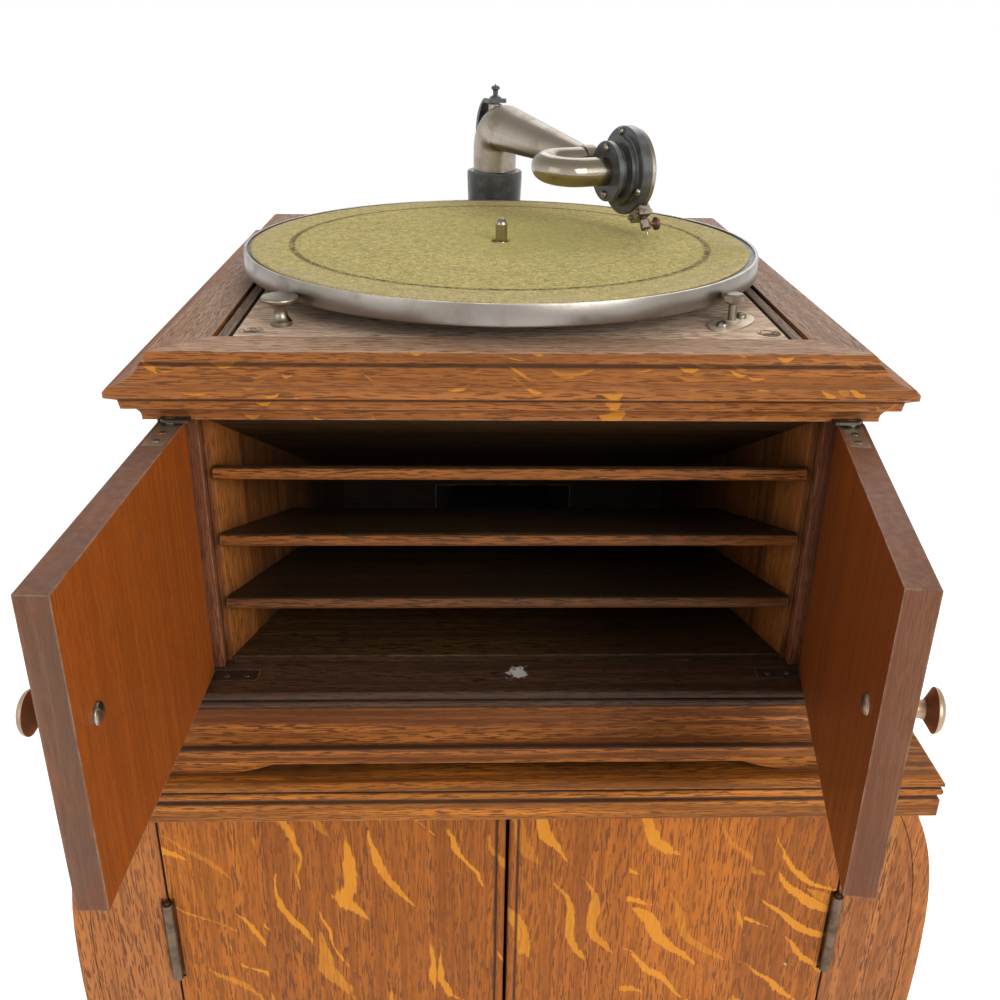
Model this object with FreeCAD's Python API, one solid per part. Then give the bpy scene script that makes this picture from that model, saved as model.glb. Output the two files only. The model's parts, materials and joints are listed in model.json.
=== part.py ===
import FreeCAD, Part
import math
import os
from FreeCAD import Vector

# Lidless talking machine standing on its matching record cabinet, in quarter-sawn oak.
# Millimetres, +X to the right, +Y to the back, +Z up from the floor.
# While building, Y is measured from the turntable's axis; place() centres the whole at the end.

# Heights of the two stacked units
cabinet_height = 759.0
case_height = 221.0

# Top frame of the case
frame_half_width = 168.5
frame_front = 162.0
frame_behind_pivot = 22.5
frame_rail = 21.0
frame_thick = 32.3
back_rail_width = 48.0
moulding_overhang = 21.2

# Motor board and what carries it
board_thick = 12.0
board_recess = 1.5
board_gap = 0.8
strip_width = 5.6
strip_gap = 2.2
strip_side_gap = 1.1
bearer_width = 23.5
bearer_thick = 17.5
board_screw_inset = 7.0
board_screw_setback = 15.6
board_screw_radius = 4.6
counterbore_radius = 6.2
board_screw_sink = 1.5
board_screw_head = 2.2

# Case walls
side_proud = 3.5
side_thick = 13.0
post_width = 19.0
post_depth = 18.0
post_proud = 2.2
back_thick = 5.0
ledge_drop = 177.0
sill_thick = 10.0
sill_reach = 24.8
base_step = 9.0
base_wall = 26.0
base_fillet = 15.5
scallop_rise = 5.7
scallop_half_width = 123.5
scallop_ramp = 23.0

# Horn
horn_setback = 6.2
horn_back_y = 40.0
horn_side_thick = 4.0
horn_back_half_width = 104.0
horn_board_thick = 5.0
horn_back_top = 113.0
horn_floor_rise = 10.0
horn_floor_edge = 3.8
horn_plate_thick = 6.0
slat_count = 3
slat_thick = 7.2
slat_depth = 68.0
slat_ahead = 4.0
slat_first_drop = 65.0
slat_pitch = 37.3
slat_first_slope = 22.0
slat_slope_step = 9.5
throat_width = 90.0
throat_height = 38.0
throat_wall = 3.0
throat_drop = 141.0
throat_radius = 16.5
throat_bend = 30.5

# Front doors of the case
door_thick = 13.0
door_gap = 1.2
door_side_setback = 2.0
door_face_gap = 0.8
door_edge_radius = 6.0
door_meeting_gap = 1.0
left_door_open = 92.0
right_door_open = 80.0
leaf_length = 34.0
upper_plate_length = 14.0
leaf_width = 9.0
leaf_thick = 1.5
leaf_pin_radius = 2.4
knob_from_pivot = 143.5
knob_drop = 96.0

# Turned knobs of both units
knob_head_radius = 9.0
knob_length = 16.0
knob_screw_radius = 4.4
knob_screw_height = 2.0

# Turntable
turntable_radius = 152.4
turntable_offset = -2.0
rim_lift = 8.0
rim_height = 11.5
rim_wall = 1.6
deck_sink = 1.0
hub_lift = 3.0
plate_thick = 3.0
felt_thick = 1.5
hub_radius = 14.0
spindle_radius = 4.0
spindle_top_radius = 3.6
spindle_rise = 33.4

# Controls on the board
brake_inset = 6.211
brake_rim_gap = 0.9
brake_head_radius = 9.6
brake_height = 15.0
brake_shaft_radius = 3.0
lever_length = 46.0
lever_thick = 3.0
lever_width = 8.0
lever_turn = 45.0
speed_inset = 7.916
speed_rim_gap = 2.0
speed_head_radius = 5.0
speed_head_thick = 5.0
speed_height = 16.4
speed_stem_radius = 2.2
speed_boss_radius = 4.3
speed_boss_height = 2.4
speed_plate_thick = 1.2
speed_plate_length = 39.0
speed_plate_width = 19.0
speed_plate_turn = 52.0
speed_screw_offset = 11.2
speed_screw_radius = 3.0
speed_screw_height = 1.8

# Motor, placed from the spindle and from the board's underside
bedplate_thick = 4.0
cheek_thick = 4.0
cheek_depth = 88.0
train_drop = 48.5
module_mm = 1.25
barrel_teeth = 60
pinion_teeth = 12
winding_teeth = 48
barrel_radius = 34.0
barrel_width = 35.0
gear_width = 4.0
worm_module = 1.0
worm_wheel_teeth = 40
governor_wheel_teeth = 40
worm_radius = 4.5
governor_worm_radius = 3.0
worm_gap = 0.75
arbor_radius = 4.0
counter_shaft_radius = 3.0
winding_shaft_radius = 4.0
socket_radius = 4.5
socket_depth = 25.0
socket_outer_radius = 6.5
governor_ball_radius = 4.5
governor_balls = 3
governor_rise = 29.0
governor_left_reach = 14.0
governor_right_reach = 62.0
governor_shaft_radius = 1.5
governor_bearing = 6.0
barrel_offset = 73.0
frame_front_margin = 16.0
frame_rear_margin = 14.0
foot_bar_half_width = 10.0

# Tone arm, placed from its pivot
rim_to_collar = 2.7
collar_radius = 20.4
collar_height = 38.0
collar_seat = 10.0
arm_radius = 15.8
arm_end_radius = 7.6
arm_wall = 1.2
arm_axis_rise = 68.8
arm_bend = 16.4
arm_reach = 129.5
arm_end_rise = 59.4
arm_heading = 26.4
box_heading = 22.0
socket_wall = 1.15
socket_left = 4.6
socket_right = 2.4
socket_cap = 1.2
cap_shoulder = 0.4
arm_boss_radius = 5.0
arm_boss_drop = 0.6
gooseneck_radius = 8.65
gooseneck_spread = 30.0
gooseneck_droop = 5.0
gooseneck_left = 21.8
flange_start = -4.2
flange_radius = 18.0
flange_thick = 2.6
box_radius = 26.5
box_depth = 18.4
box_screw_radius = 2.2
box_screw_height = 1.3
flange_screw_inset = 4.0
rim_screw_inset = 3.0
rim_screws = 3
mica_sink = 2.6
ring_thick = 3.4
ring_wall = 3.4
diaphragm_thick = 0.6
yoke_length = 13.0
yoke_height = 5.2
yoke_thick = 8.4
yoke_behind = 5.8
lug_radius = 1.6
lug_offset = 4.2
yoke_pin_radius = 1.5
yoke_pin_proud = 1.6
bar_ahead = 0.2
bar_radius = 2.1
stem_radius = 1.0
button_radius = 2.4
chuck_radius = 3.1
chuck_start = 3.4
chuck_end = 9.6
chuck_screw_drop = 6.6
chuck_screw_radius = 1.4
chuck_screw_head = 4.0
needle_point = 3.0
needle_radius = 0.9
needle_lean = 34.5
needle_gap = 0.15
bracket_thick = 3.0
bracket_gap = 1.0
bracket_foot = 24.0
bracket_lip = 4.0
bracket_turn = 110.0
bracket_width = 14.0
finial_radius = 2.2

# Record cabinet
top_thick = 24.5
top_overhang = 10.0
top_front_overhang = 16.0
cabinet_front = 192.0
cabinet_back = 205.0
panel_thick = 10.0
toe_half_width = 236.0
ankle_half_width = 221.0
shin_half_width = 240.0
knee_half_width = 249.5
crest_half_width = 240.0
shoulder_half_width = 222.0
ankle_height = 118.0
shin_height = 440.0
knee_drop = 101.5
crest_drop = 37.5
post_inner = 193.3
leg_depth = 24.0
foot_inset = 6.0
arch_height = 105.0
arch_spring = 60.0
arch_margin = 42.0
rear_thick = 8.0
rear_setback = 2.0
cabinet_door_thick = 19.0
cabinet_door_bottom = 185.0
cabinet_door_clear = 2.0
cabinet_meeting_gap = 0.9
floor_thick = 12.0
floor_half_width = 205.0
apron_thick = 18.0
apron_setback = 2.0
apron_depth = 61.0
apron_rise = 28.0
shelf_height = 520.0
shelf_thick = 12.0
shelf_setback = 27.0
divider_count = 5
divider_thick = 5.0
divider_setback = 18.0
bead_width = 5.0
bead_rise = 1.8
hinge_length = 58.0
hinge_inset = 98.0
hinge_leaf_thick = 0.6
hinge_radius = 3.0
hinge_pin_radius = 1.5
hinge_gap = 0.2
hinge_axis_proud = 2.2
cabinet_knob_inset = 24.0
cabinet_knob_height = 460.0

# Clearances
turning_clearance = 0.05
face_gap = 0.4

# Small flat in the middle of turned domes
pole_flat = 0.2

# Sizes and heights that follow from the ones above
pivot_y = turntable_radius + collar_radius + rim_to_collar
frame_back = pivot_y + frame_behind_pivot
side_outer = frame_half_width + side_proud
post_front = frame_front + post_proud
sill_front = post_front + sill_reach
sill_half_width = side_outer + base_step
base_front_reach = sill_front + base_step
base_half_width = sill_half_width + base_step
horn_front = post_front - horn_setback
slat_front = horn_front + slat_ahead
top_half_width = shoulder_half_width + top_overhang
top_front = cabinet_front + top_front_overhang
top_back = cabinet_back + top_overhang
top_z = cabinet_height + case_height
frame_under = top_z - frame_thick
deck_z = top_z + rim_lift + rim_height - deck_sink
board_top = top_z - board_recess
board_under = board_top - board_thick
ledge_z = top_z - ledge_drop
sill_under = ledge_z - sill_thick
throat_z = top_z - throat_drop
train_z = board_under - train_drop
cabinet_under = cabinet_height - top_thick
knee_height = cabinet_under - knee_drop
crest_height = cabinet_under - crest_drop
inner_back = cabinet_back - rear_setback - rear_thick
cabinet_door_top = cabinet_under - cabinet_door_clear
opening_half_width = side_outer - post_width
horn_inner_half_width = opening_half_width - horn_side_thick
door_pivot_x = side_outer - door_side_setback - door_thick / 2
door_pivot_y = -post_front - door_face_gap - door_thick / 2
door_top = frame_under - door_gap
door_bottom = ledge_z + door_gap
rail_inner = frame_half_width - frame_rail
bearer_inner = rail_inner - bearer_width
board_half_width = rail_inner - strip_side_gap - strip_width - strip_gap
board_front = -frame_front + frame_rail + board_gap
board_back = frame_back - back_rail_width - board_gap
spindle = Vector(turntable_offset, 0, 0)
across = Vector(1, 0, 0)
upward = Vector(0, 0, 1)


# Small builders
def level(degrees):
    """Level direction, turned from straight ahead to the right."""
    return Vector(math.sin(math.radians(degrees)), -math.cos(math.radians(degrees)), 0)


def box(x0, x1, y0, y1, z0, z1):
    return Part.makeBox(x1 - x0, y1 - y0, z1 - z0, Vector(x0, y0, z0))


def rod(start, direction, radius, length):
    return Part.makeCylinder(radius, length, start, direction)


def outline(to_point, start, steps):
    """Closed face; a step is the next point, or a pair (middle, end) for an arc."""
    edges = []
    here = to_point(*start)
    for step in steps:
        if isinstance(step[0], tuple):
            middle = to_point(*step[0])
            there = to_point(*step[1])
            edges.append(Part.Arc(here, middle, there).toShape())
        else:
            there = to_point(*step)
            edges.append(Part.makeLine(here, there))
        here = there
    first = to_point(*start)
    if here.distanceToPoint(first) > 1e-6:
        edges.append(Part.makeLine(here, first))
    return Part.Face(Part.Wire(edges))


def along_x(start, steps, x0, x1):
    """Outline in the YZ plane drawn along X."""
    return outline(lambda y, z: Vector(x0, y, z), start, steps).extrude(Vector(x1 - x0, 0, 0))


def along_y(start, steps, y0, y1):
    """Outline in the XZ plane drawn along Y."""
    return outline(lambda x, z: Vector(x, y0, z), start, steps).extrude(Vector(0, y1 - y0, 0))


def along_z(start, steps, z0, z1):
    """Outline in the XY plane drawn along Z."""
    return outline(lambda x, y: Vector(x, y, z0), start, steps).extrude(Vector(0, 0, z1 - z0))


def turned(start, steps, foot, direction):
    """Outline of (radius, height) turned about an axis; an arc to the axis ends in a small flat."""
    path = []
    for step in steps:
        if isinstance(step[0], tuple) and step[1][0] == 0:
            height = step[1][1]
            path += [(step[0], (pole_flat, height)), (0, height)]
        else:
            path.append(step)
    face = outline(lambda r, h: Vector(r, 0, h), start, path)
    solid = face.revolve(Vector(0, 0, 0), upward, 360)
    turn = FreeCAD.Rotation(upward, direction)
    solid.Placement = FreeCAD.Placement(foot, turn)
    return solid


def mirrored(shape):
    return shape.mirror(Vector(0, 0, 0), across)


def group(*shapes):
    return Part.makeCompound(list(shapes))


def both_sides(shape):
    return group(shape, mirrored(shape))


def moulded_slab(half_width, front, back, z_top, profile):
    """Board whose front and side edges carry one profile of (inset, drop) steps."""
    def mapped(sign_of, base):
        def convert(step):
            if isinstance(step[0], tuple):
                return (convert(step[0]), convert(step[1]))
            return (sign_of * (base - step[0]), z_top - step[1])
        return [convert(step) for step in profile]

    front_steps = mapped(-1, front)
    last = front_steps[-1]
    bottom = last[1][1] if isinstance(last[0], tuple) else last[1]
    lengthwise = along_x((back, z_top), front_steps + [(back, bottom)], -half_width, half_width)
    right_steps = mapped(1, half_width)
    right = along_y((0, z_top), right_steps + [(0, bottom)], -front, back)
    crosswise = right.fuse(mirrored(right)).removeSplitter()
    return lengthwise.common(crosswise)


def mitre_front(half_width, front, z0, z1):
    """Wedge that holds the front rail between its two mitre lines."""
    reach = 2 * half_width
    apex = half_width - front
    return along_z((0, apex), [(reach, apex - reach), (-reach, apex - reach)], z0, z1)


def beside_rim(side, inset, reach):
    """Place on the board at a reach from the spindle, an inset from the bearer on one side."""
    x = side * (bearer_inner - inset)
    return Vector(x, -math.sqrt(reach ** 2 - (x - spindle.x) ** 2), board_top)


# Places of the two controls, beside the turntable's rim
brake_place = beside_rim(-1, brake_inset, turntable_radius + brake_head_radius + brake_rim_gap)
speed_place = beside_rim(1, speed_inset, turntable_radius + speed_head_radius + speed_rim_gap)


# Top frame, motor board and its rests
def frame_blank():
    o = moulding_overhang
    profile = [
        (o, 0), ((o - 4.6, 1.2), (o - 6.0, 4.2)), (o - 7.9, 6.1),
        ((o - 12.0, 10.5), (o - 19.4, 12.5)), (0, 14.6), (0, 17.4),
        (o - 16.4, 19.9), (o - 15.7, 24.5), ((o - 10.2, 26.6), (o - 8.6, frame_thick)),
    ]
    return moulded_slab(frame_half_width + o, frame_front + o, frame_back, top_z, profile)


def top_frame():
    blank = frame_blank()
    inner = frame_back - back_rail_width
    hole = box(-rail_inner, rail_inner, -frame_front + frame_rail, frame_back + 1,
               frame_under - 1, top_z + 1)
    ring = blank.cut(hole)
    wedge = mitre_front(frame_half_width, frame_front, frame_under - 1, top_z + 1)
    front = ring.common(wedge)
    sides = ring.cut(wedge)
    bore = rod(Vector(turntable_offset, pivot_y, frame_under - 1), upward,
               throat_radius, frame_thick + 2)
    back = box(-rail_inner, rail_inner, inner, frame_back, frame_under, top_z).cut(bore)
    front = front.cut(pivot_plate_pockets())
    sides = sides.cut(pivot_plate_pockets())
    return group(front, back), group(*sides.Solids)


def board_screw_places():
    x = board_half_width - board_screw_inset
    for y in (board_front + board_screw_setback, board_back - board_screw_setback):
        yield Vector(-x, y, board_top)
        yield Vector(x, y, board_top)


def motor_board():
    board = box(-board_half_width, board_half_width, board_front, board_back, board_under, board_top)
    down = Vector(0, 0, -1)
    board = board.cut(rod(spindle + Vector(0, 0, board_top + 1), down, spindle_radius + 2, board_thick + 2))
    for place, radius in ((brake_place, brake_shaft_radius + turning_clearance),
                          (speed_place, speed_stem_radius + 1.0)):
        board = board.cut(rod(place + upward, down, radius, board_thick + 2))
    for place in board_screw_places():
        board = board.cut(rod(place, down, counterbore_radius, board_screw_sink + board_screw_head))
    return board


def board_screws():
    sunk = upward * (board_screw_sink + board_screw_head)
    heads = [domed_head(board_screw_radius, board_screw_head, place - sunk, upward)
             for place in board_screw_places()]
    return group(*heads)


def board_rests():
    strip_in = board_half_width + strip_gap
    strip = box(strip_in, strip_in + strip_width, board_front, board_back, board_under, board_top)
    bearer = box(bearer_inner, rail_inner, board_front, board_back,
                 board_under - bearer_thick, board_under)
    return group(strip, bearer, mirrored(strip), mirrored(bearer))


# Case walls
def case_sides():
    back = frame_back - back_thick
    side = box(side_outer - side_thick, side_outer, -post_front + post_depth, back, ledge_z, frame_under)
    hole = rod(Vector(side_outer - side_thick - 1, winding_y, train_z), across,
               socket_outer_radius + 1.0, side_thick + 2)
    return group(mirrored(side), side.cut(hole))


def case_posts():
    post = box(side_outer - post_width, side_outer, -post_front, -post_front + post_depth,
               ledge_z, frame_under)
    return both_sides(post)


def case_back():
    return box(-side_outer, side_outer, frame_back - back_thick, frame_back, cabinet_height, frame_under)


def case_bottom():
    b = sill_thick / 2
    profile = [(2.6, 0), ((0, b * 0.5), (2.2, b)), ((0, b * 1.5), (2.6, sill_thick))]
    board = moulded_slab(sill_half_width, sill_front, frame_back - back_thick, ledge_z, profile)
    return board.cut(pivot_plate_pockets())


def base_moulding():
    inset = base_front_reach - sill_front + 5.5
    step = 3.0
    drop = sill_under - cabinet_height
    cove_end = drop - base_fillet
    profile = [
        (inset, 0), (inset, step),
        ((inset * 0.62, step + (cove_end - step) * 0.72), (0, cove_end)), (0, drop),
    ]
    back = frame_back - back_thick
    blank = moulded_slab(base_half_width, base_front_reach, back, sill_under, profile)
    inner = base_half_width - base_wall
    blank = blank.cut(box(-inner, inner, -base_front_reach + base_wall, back + 1,
                          cabinet_height - 1, sill_under + 1))
    wedge = mitre_front(base_half_width, base_front_reach, cabinet_height - 1, sill_under + 1)
    front = blank.common(wedge)
    foot = scallop_half_width + scallop_ramp
    scallop = along_y((-foot, cabinet_height), [
        ((-scallop_half_width - scallop_ramp * 0.45, cabinet_height + scallop_rise * 0.4),
         (-scallop_half_width, cabinet_height + scallop_rise)),
        (scallop_half_width, cabinet_height + scallop_rise),
        ((scallop_half_width + scallop_ramp * 0.45, cabinet_height + scallop_rise * 0.4),
         (foot, cabinet_height)),
        (foot, cabinet_height - 2), (-foot, cabinet_height - 2),
    ], -base_front_reach - 1, -base_front_reach + base_wall + 1)
    return front.cut(scallop), group(*blank.cut(wedge).Solids)


# Horn behind the front doors
def horn_space():
    """Space between the slanted horn sides."""
    front = horn_inner_half_width
    back = horn_back_half_width - horn_side_thick
    near = -slat_front - 4
    return along_z((-front, near), [(front, near), (front, -horn_front), (back, -horn_back_y),
                                    (-back, -horn_back_y), (-front, -horn_front)],
                   ledge_z - 1, frame_under + 1)


def horn_sides():
    t = horn_side_thick
    side = along_z((horn_inner_half_width, -horn_front), [
        (horn_inner_half_width + t, -horn_front), (horn_back_half_width, -horn_back_y),
        (horn_back_half_width - t, -horn_back_y)], ledge_z, frame_under)
    return both_sides(side)


def horn_boards():
    space = horn_space()
    wide = opening_half_width
    t = horn_board_thick
    low = top_z - horn_back_top
    lid = along_x((-horn_front, frame_under), [
        (-horn_front, frame_under - t), (-horn_back_y, low - t), (-horn_back_y, low),
        (-horn_front + t, frame_under)], -wide, wide).common(space)
    rise = ledge_z + horn_floor_edge + horn_floor_rise
    floor = along_x((-horn_front - 1, ledge_z), [
        (-horn_front - 1, ledge_z + horn_floor_edge), (-horn_back_y, rise),
        (-horn_back_y, rise - t), (-horn_front + t, ledge_z)], -wide, wide).common(space)
    back = box(-horn_back_half_width, horn_back_half_width, -horn_back_y,
               -horn_back_y + horn_plate_thick, ledge_z, low + t)
    hole_w = throat_width / 2 - throat_wall
    hole_h = throat_height / 2 - throat_wall
    hole = box(-hole_w, hole_w, -horn_back_y - 1, -horn_back_y + horn_plate_thick + 1,
               throat_z - hole_h, throat_z + hole_h)
    return group(lid, floor, back.cut(hole))


def louvres():
    space = horn_space()
    slats = []
    half = slat_thick / 2
    for number in range(slat_count):
        z = top_z - slat_first_drop - number * slat_pitch
        slat = along_x((-slat_front + half, z - half), [
            ((-slat_front, z), (-slat_front + half, z + half)),
            (-slat_front + slat_depth, z + half * 0.5), (-slat_front + slat_depth, z - half * 0.5),
        ], -opening_half_width, opening_half_width)
        slope = slat_first_slope - number * slat_slope_step
        slat.rotate(Vector(0, -slat_front + half, z), across, -slope)
        slats.append(slat.common(space))
    return group(*slats)


def duct(width, height, radius):
    """Straight duct from a rectangle to a circle, then a quarter bend up to the tone arm."""
    start = -horn_back_y + horn_plate_thick
    end = pivot_y - throat_bend
    w, h = width / 2, height / 2
    corners = [Vector(-w, start, throat_z - h), Vector(w, start, throat_z - h),
               Vector(w, start, throat_z + h), Vector(-w, start, throat_z + h)]
    square = Part.makePolygon(corners + [corners[0]])
    d = radius * math.sqrt(0.5)
    x = turntable_offset
    ring_points = [Vector(x - d, end, throat_z - d), Vector(x + d, end, throat_z - d),
                   Vector(x + d, end, throat_z + d), Vector(x - d, end, throat_z + d)]
    sides = [Vector(x, end, throat_z - radius), Vector(x + radius, end, throat_z),
             Vector(x, end, throat_z + radius), Vector(x - radius, end, throat_z)]
    arcs = [Part.Arc(ring_points[i], sides[i], ring_points[(i + 1) % 4]).toShape() for i in range(4)]
    straight = Part.makeLoft([square, Part.Wire(arcs)], True, True)
    circle = Part.Face(Part.Wire(Part.makeCircle(radius, Vector(x, end, throat_z), Vector(0, 1, 0))))
    bend = circle.revolve(Vector(x, end, throat_z + throat_bend), across, 90)
    riser = rod(Vector(x, pivot_y, throat_z + throat_bend), upward, radius,
                top_z + collar_seat - throat_z - throat_bend)
    return straight, bend, riser


def horn_throat():
    outer = duct(throat_width, throat_height, throat_radius)
    walls = 2 * throat_wall
    inner = duct(throat_width - walls, throat_height - walls, throat_radius - throat_wall)
    shell = outer[0].fuse(outer[1]).fuse(outer[2])
    for core in inner:
        shell = shell.cut(core)
    return shell.removeSplitter()


# Front doors of the case
def leaf_plate(z0, z1, length=leaf_length):
    """Hinge plate with one round end about the pivot, before it is moved to a door."""
    half = leaf_width / 2
    return along_z((0, -half), [(length - half, -half), (length - half, half), (0, half),
                                ((-half, 0), (0, -half))], z0, z1)


def pivot_points():
    return (Vector(-door_pivot_x, door_pivot_y, 0), Vector(door_pivot_x, door_pivot_y, 0))


def placed_plate(plate, side):
    """Plate moved to the left (side -1) or right pivot; it reaches towards the middle."""
    shape = plate.copy() if side < 0 else mirrored(plate)
    shape.translate(Vector(side * door_pivot_x, door_pivot_y, 0))
    return shape


def pivot_plate_pair():
    low = leaf_plate(ledge_z - leaf_thick, ledge_z)
    high = leaf_plate(frame_under, frame_under + leaf_thick, upper_plate_length)
    return low, high


def pivot_plate_pockets():
    low, high = pivot_plate_pair()
    pockets = [placed_plate(plate, side) for side in (-1, 1) for plate in (low, high)]
    return group(*pockets)


def pivot_plates():
    plates = []
    for side in (-1, 1):
        for plate in pivot_plate_pair():
            drill = rod(Vector(0, 0, ledge_z - 10), upward,
                        leaf_pin_radius + turning_clearance, ledge_drop + 20)
            plates.append(placed_plate(plate.cut(drill), side))
    return group(*plates)


def door_leaves(side):
    pin = leaf_pin_radius
    reach = door_gap + leaf_thick - 0.2
    low = leaf_plate(door_bottom, door_bottom + leaf_thick)
    low = low.fuse(rod(Vector(0, 0, door_bottom - reach), upward, pin, reach + leaf_thick))
    high = leaf_plate(door_top - leaf_thick, door_top)
    high = high.fuse(rod(Vector(0, 0, door_top - leaf_thick), upward, pin, reach + leaf_thick))
    return group(placed_plate(low.removeSplitter(), side), placed_plate(high.removeSplitter(), side))


def door_slab(side):
    half = door_thick / 2
    free = door_pivot_x - door_meeting_gap / 2
    slab = box(-half, free, -half, half, door_bottom, door_top)
    upright = [e for e in slab.Edges if abs(e.BoundBox.XMax + half) < 1e-6 and e.BoundBox.ZLength > 1]
    slab = slab.makeFillet(door_edge_radius, upright)
    slab = slab.cut(leaf_plate(door_bottom - 1, door_bottom + leaf_thick))
    slab = slab.cut(leaf_plate(door_top - leaf_thick, door_top + 1))
    return placed_plate(slab, side)


def turned_knob(foot, direction):
    """Mushroom knob: foot ring, waisted stem and shallow domed head."""
    r, length = knob_head_radius, knob_length
    ring, waist = r * 0.62, r * 0.40
    return turned((0, 0), [
        (ring, 0), (ring, length * 0.08), ((waist, length * 0.30), (waist * 1.1, length * 0.52)),
        ((r * 0.74, length * 0.64), (r, length * 0.74)),
        ((r * 0.98, length * 0.81), (r * 0.90, length * 0.87)),
        ((r * 0.5, length * 0.97), (0, length))], foot, direction)


def domed_head(radius, height, foot, direction):
    """Round screw head."""
    dome = ((radius * 0.7, height * 0.75), (0, height))
    return turned((0, 0), [(radius, 0), (radius, height * 0.25), dome], foot, direction)


def knob_with_screw(x, front, back, z):
    """Knob on a door's front face with the head of its screw on the inside."""
    knob = turned_knob(Vector(x, front, z), Vector(0, -1, 0))
    screw = domed_head(knob_screw_radius, knob_screw_height, Vector(x, back, z), Vector(0, 1, 0))
    return group(knob, screw)


def door_knob(side):
    x = side * (door_pivot_x - knob_from_pivot)
    half = door_thick / 2
    return knob_with_screw(x, door_pivot_y - half, door_pivot_y + half, top_z - knob_drop)


def opened(shape, side):
    angle = -left_door_open if side < 0 else right_door_open
    swung = shape.copy()
    swung.rotate(pivot_points()[0 if side < 0 else 1], upward, angle)
    return swung


# Turntable and controls
def turntable_plate():
    r = turntable_radius
    low = top_z + rim_lift
    high = low + rim_height
    hub_low = top_z + hub_lift
    under = deck_z - plate_thick
    steps = [
        (hub_radius, hub_low), (hub_radius, under), (r - rim_wall, under),
        (r - rim_wall, low + 1.0), ((r - rim_wall / 2, low), (r, low + 1.0)), (r, high - 0.6),
        ((r - 0.3, high - 0.1), (r - rim_wall, high)), (r - rim_wall, deck_z), (spindle_radius, deck_z),
    ]
    return turned((spindle_radius, hub_low), steps, spindle, upward)


def turntable_felt():
    r = turntable_radius - rim_wall - 0.2
    hole = spindle_radius + face_gap
    t = felt_thick
    return turned((hole, 0), [
        (r, 0), (r, t * 0.6), ((r - 0.4, t * 0.9), (r - 1.2, t)), (hole, t)],
        spindle + upward * deck_z, upward)


# Motor train, all shafts across the case except the spindle
def gear(y, z, x0, x1, teeth, module, phase):
    """Spur gear across X with straight-sided teeth; phase is the first tooth's angle."""
    pitch_radius = teeth * module / 2
    root = pitch_radius - 1.2 * module
    tip = pitch_radius + 0.75 * module
    pitch = 2 * math.pi / teeth
    points = []
    for number in range(teeth):
        middle = math.radians(phase) + number * pitch
        for radius, share in ((root, -0.30), (tip, -0.13), (tip, 0.13), (root, 0.30)):
            angle = middle + share * pitch
            points.append((y + radius * math.cos(angle), z + radius * math.sin(angle)))
    return along_x(points[0], points[1:], x0, x1)


barrel_pitch_radius = barrel_teeth * module_mm / 2
pinion_pitch_radius = pinion_teeth * module_mm / 2
winding_pitch_radius = winding_teeth * module_mm / 2
wheel_tip = worm_wheel_teeth * worm_module / 2 + 0.75 * worm_module
governor_tip = governor_wheel_teeth * worm_module / 2 + 0.75 * worm_module
counter_y = -(worm_radius + worm_gap + wheel_tip)
barrel_y = counter_y + barrel_pitch_radius + pinion_pitch_radius
winding_y = barrel_y + winding_pitch_radius + pinion_pitch_radius
barrel_left = turntable_offset - barrel_offset
barrel_right = barrel_left + barrel_width
gear_right = barrel_right + 0.5 + gear_width
cheek_left = barrel_left - 1.0 - cheek_thick
cheek_middle = gear_right + 1.0
cheek_right = turntable_offset + governor_tip + 3.0
wind_left = cheek_middle + cheek_thick + 0.6
governor_y = governor_tip + worm_gap + governor_worm_radius
governor_z = train_z + governor_rise
governor_left = turntable_offset - governor_left_reach
governor_right = turntable_offset + governor_right_reach


def motor_frame():
    plate_under = board_under - bedplate_thick
    low = board_under - cheek_depth
    right_end = governor_right + cheek_thick
    front, rear = counter_y - frame_front_margin, winding_y + frame_rear_margin
    frame = box(cheek_left, right_end, front, rear, plate_under, board_under)
    for x in (cheek_left, cheek_middle, cheek_right):
        frame = frame.fuse(box(x, x + cheek_thick, front, rear, low, plate_under))
    w, g = foot_bar_half_width, governor_bearing
    frame = frame.fuse(box(cheek_middle, cheek_right + cheek_thick, -w, w, low, low + cheek_thick))
    for x in (governor_left - cheek_thick, governor_right):
        frame = frame.fuse(box(x, x + cheek_thick, governor_y - g, governor_y + g,
                               governor_z - g, plate_under))
    gap = turning_clearance
    span = right_end - cheek_left + 2
    start = cheek_left - 1
    bores = [
        rod(Vector(start, barrel_y, train_z), across, arbor_radius + gap, wind_left + gear_width - start),
        rod(Vector(start, counter_y, train_z), across, counter_shaft_radius + gap, span),
        rod(Vector(start, winding_y, train_z), across, winding_shaft_radius + gap, span),
        rod(Vector(governor_left - cheek_thick / 2, governor_y, governor_z), across,
            governor_shaft_radius + gap, governor_right + cheek_thick - governor_left),
        rod(Vector(cheek_right - 1, governor_y, governor_z), across, 17.0, cheek_thick + 2),
        rod(Vector(spindle.x, spindle.y, low + 1.0), upward, spindle_radius + gap, cheek_depth + 2),
    ]
    for bore in bores:
        frame = frame.cut(bore)
    return frame.removeSplitter()


def spring_barrel():
    drum = rod(Vector(barrel_left, barrel_y, train_z), across, barrel_radius, barrel_width + 0.5)
    teeth = gear(barrel_y, train_z, barrel_right + 0.5, gear_right, barrel_teeth, module_mm, 0)
    bore = rod(Vector(barrel_left - 1, barrel_y, train_z), across, arbor_radius + turning_clearance,
               barrel_width + gear_width + 4)
    return drum.fuse(teeth).cut(bore).removeSplitter()


def winding_wheel():
    wheel = gear(barrel_y, train_z, wind_left, wind_left + gear_width, winding_teeth, module_mm, 0)
    arbor = rod(Vector(cheek_left, barrel_y, train_z), across, arbor_radius, wind_left - cheek_left)
    return wheel.fuse(arbor).removeSplitter()


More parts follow.
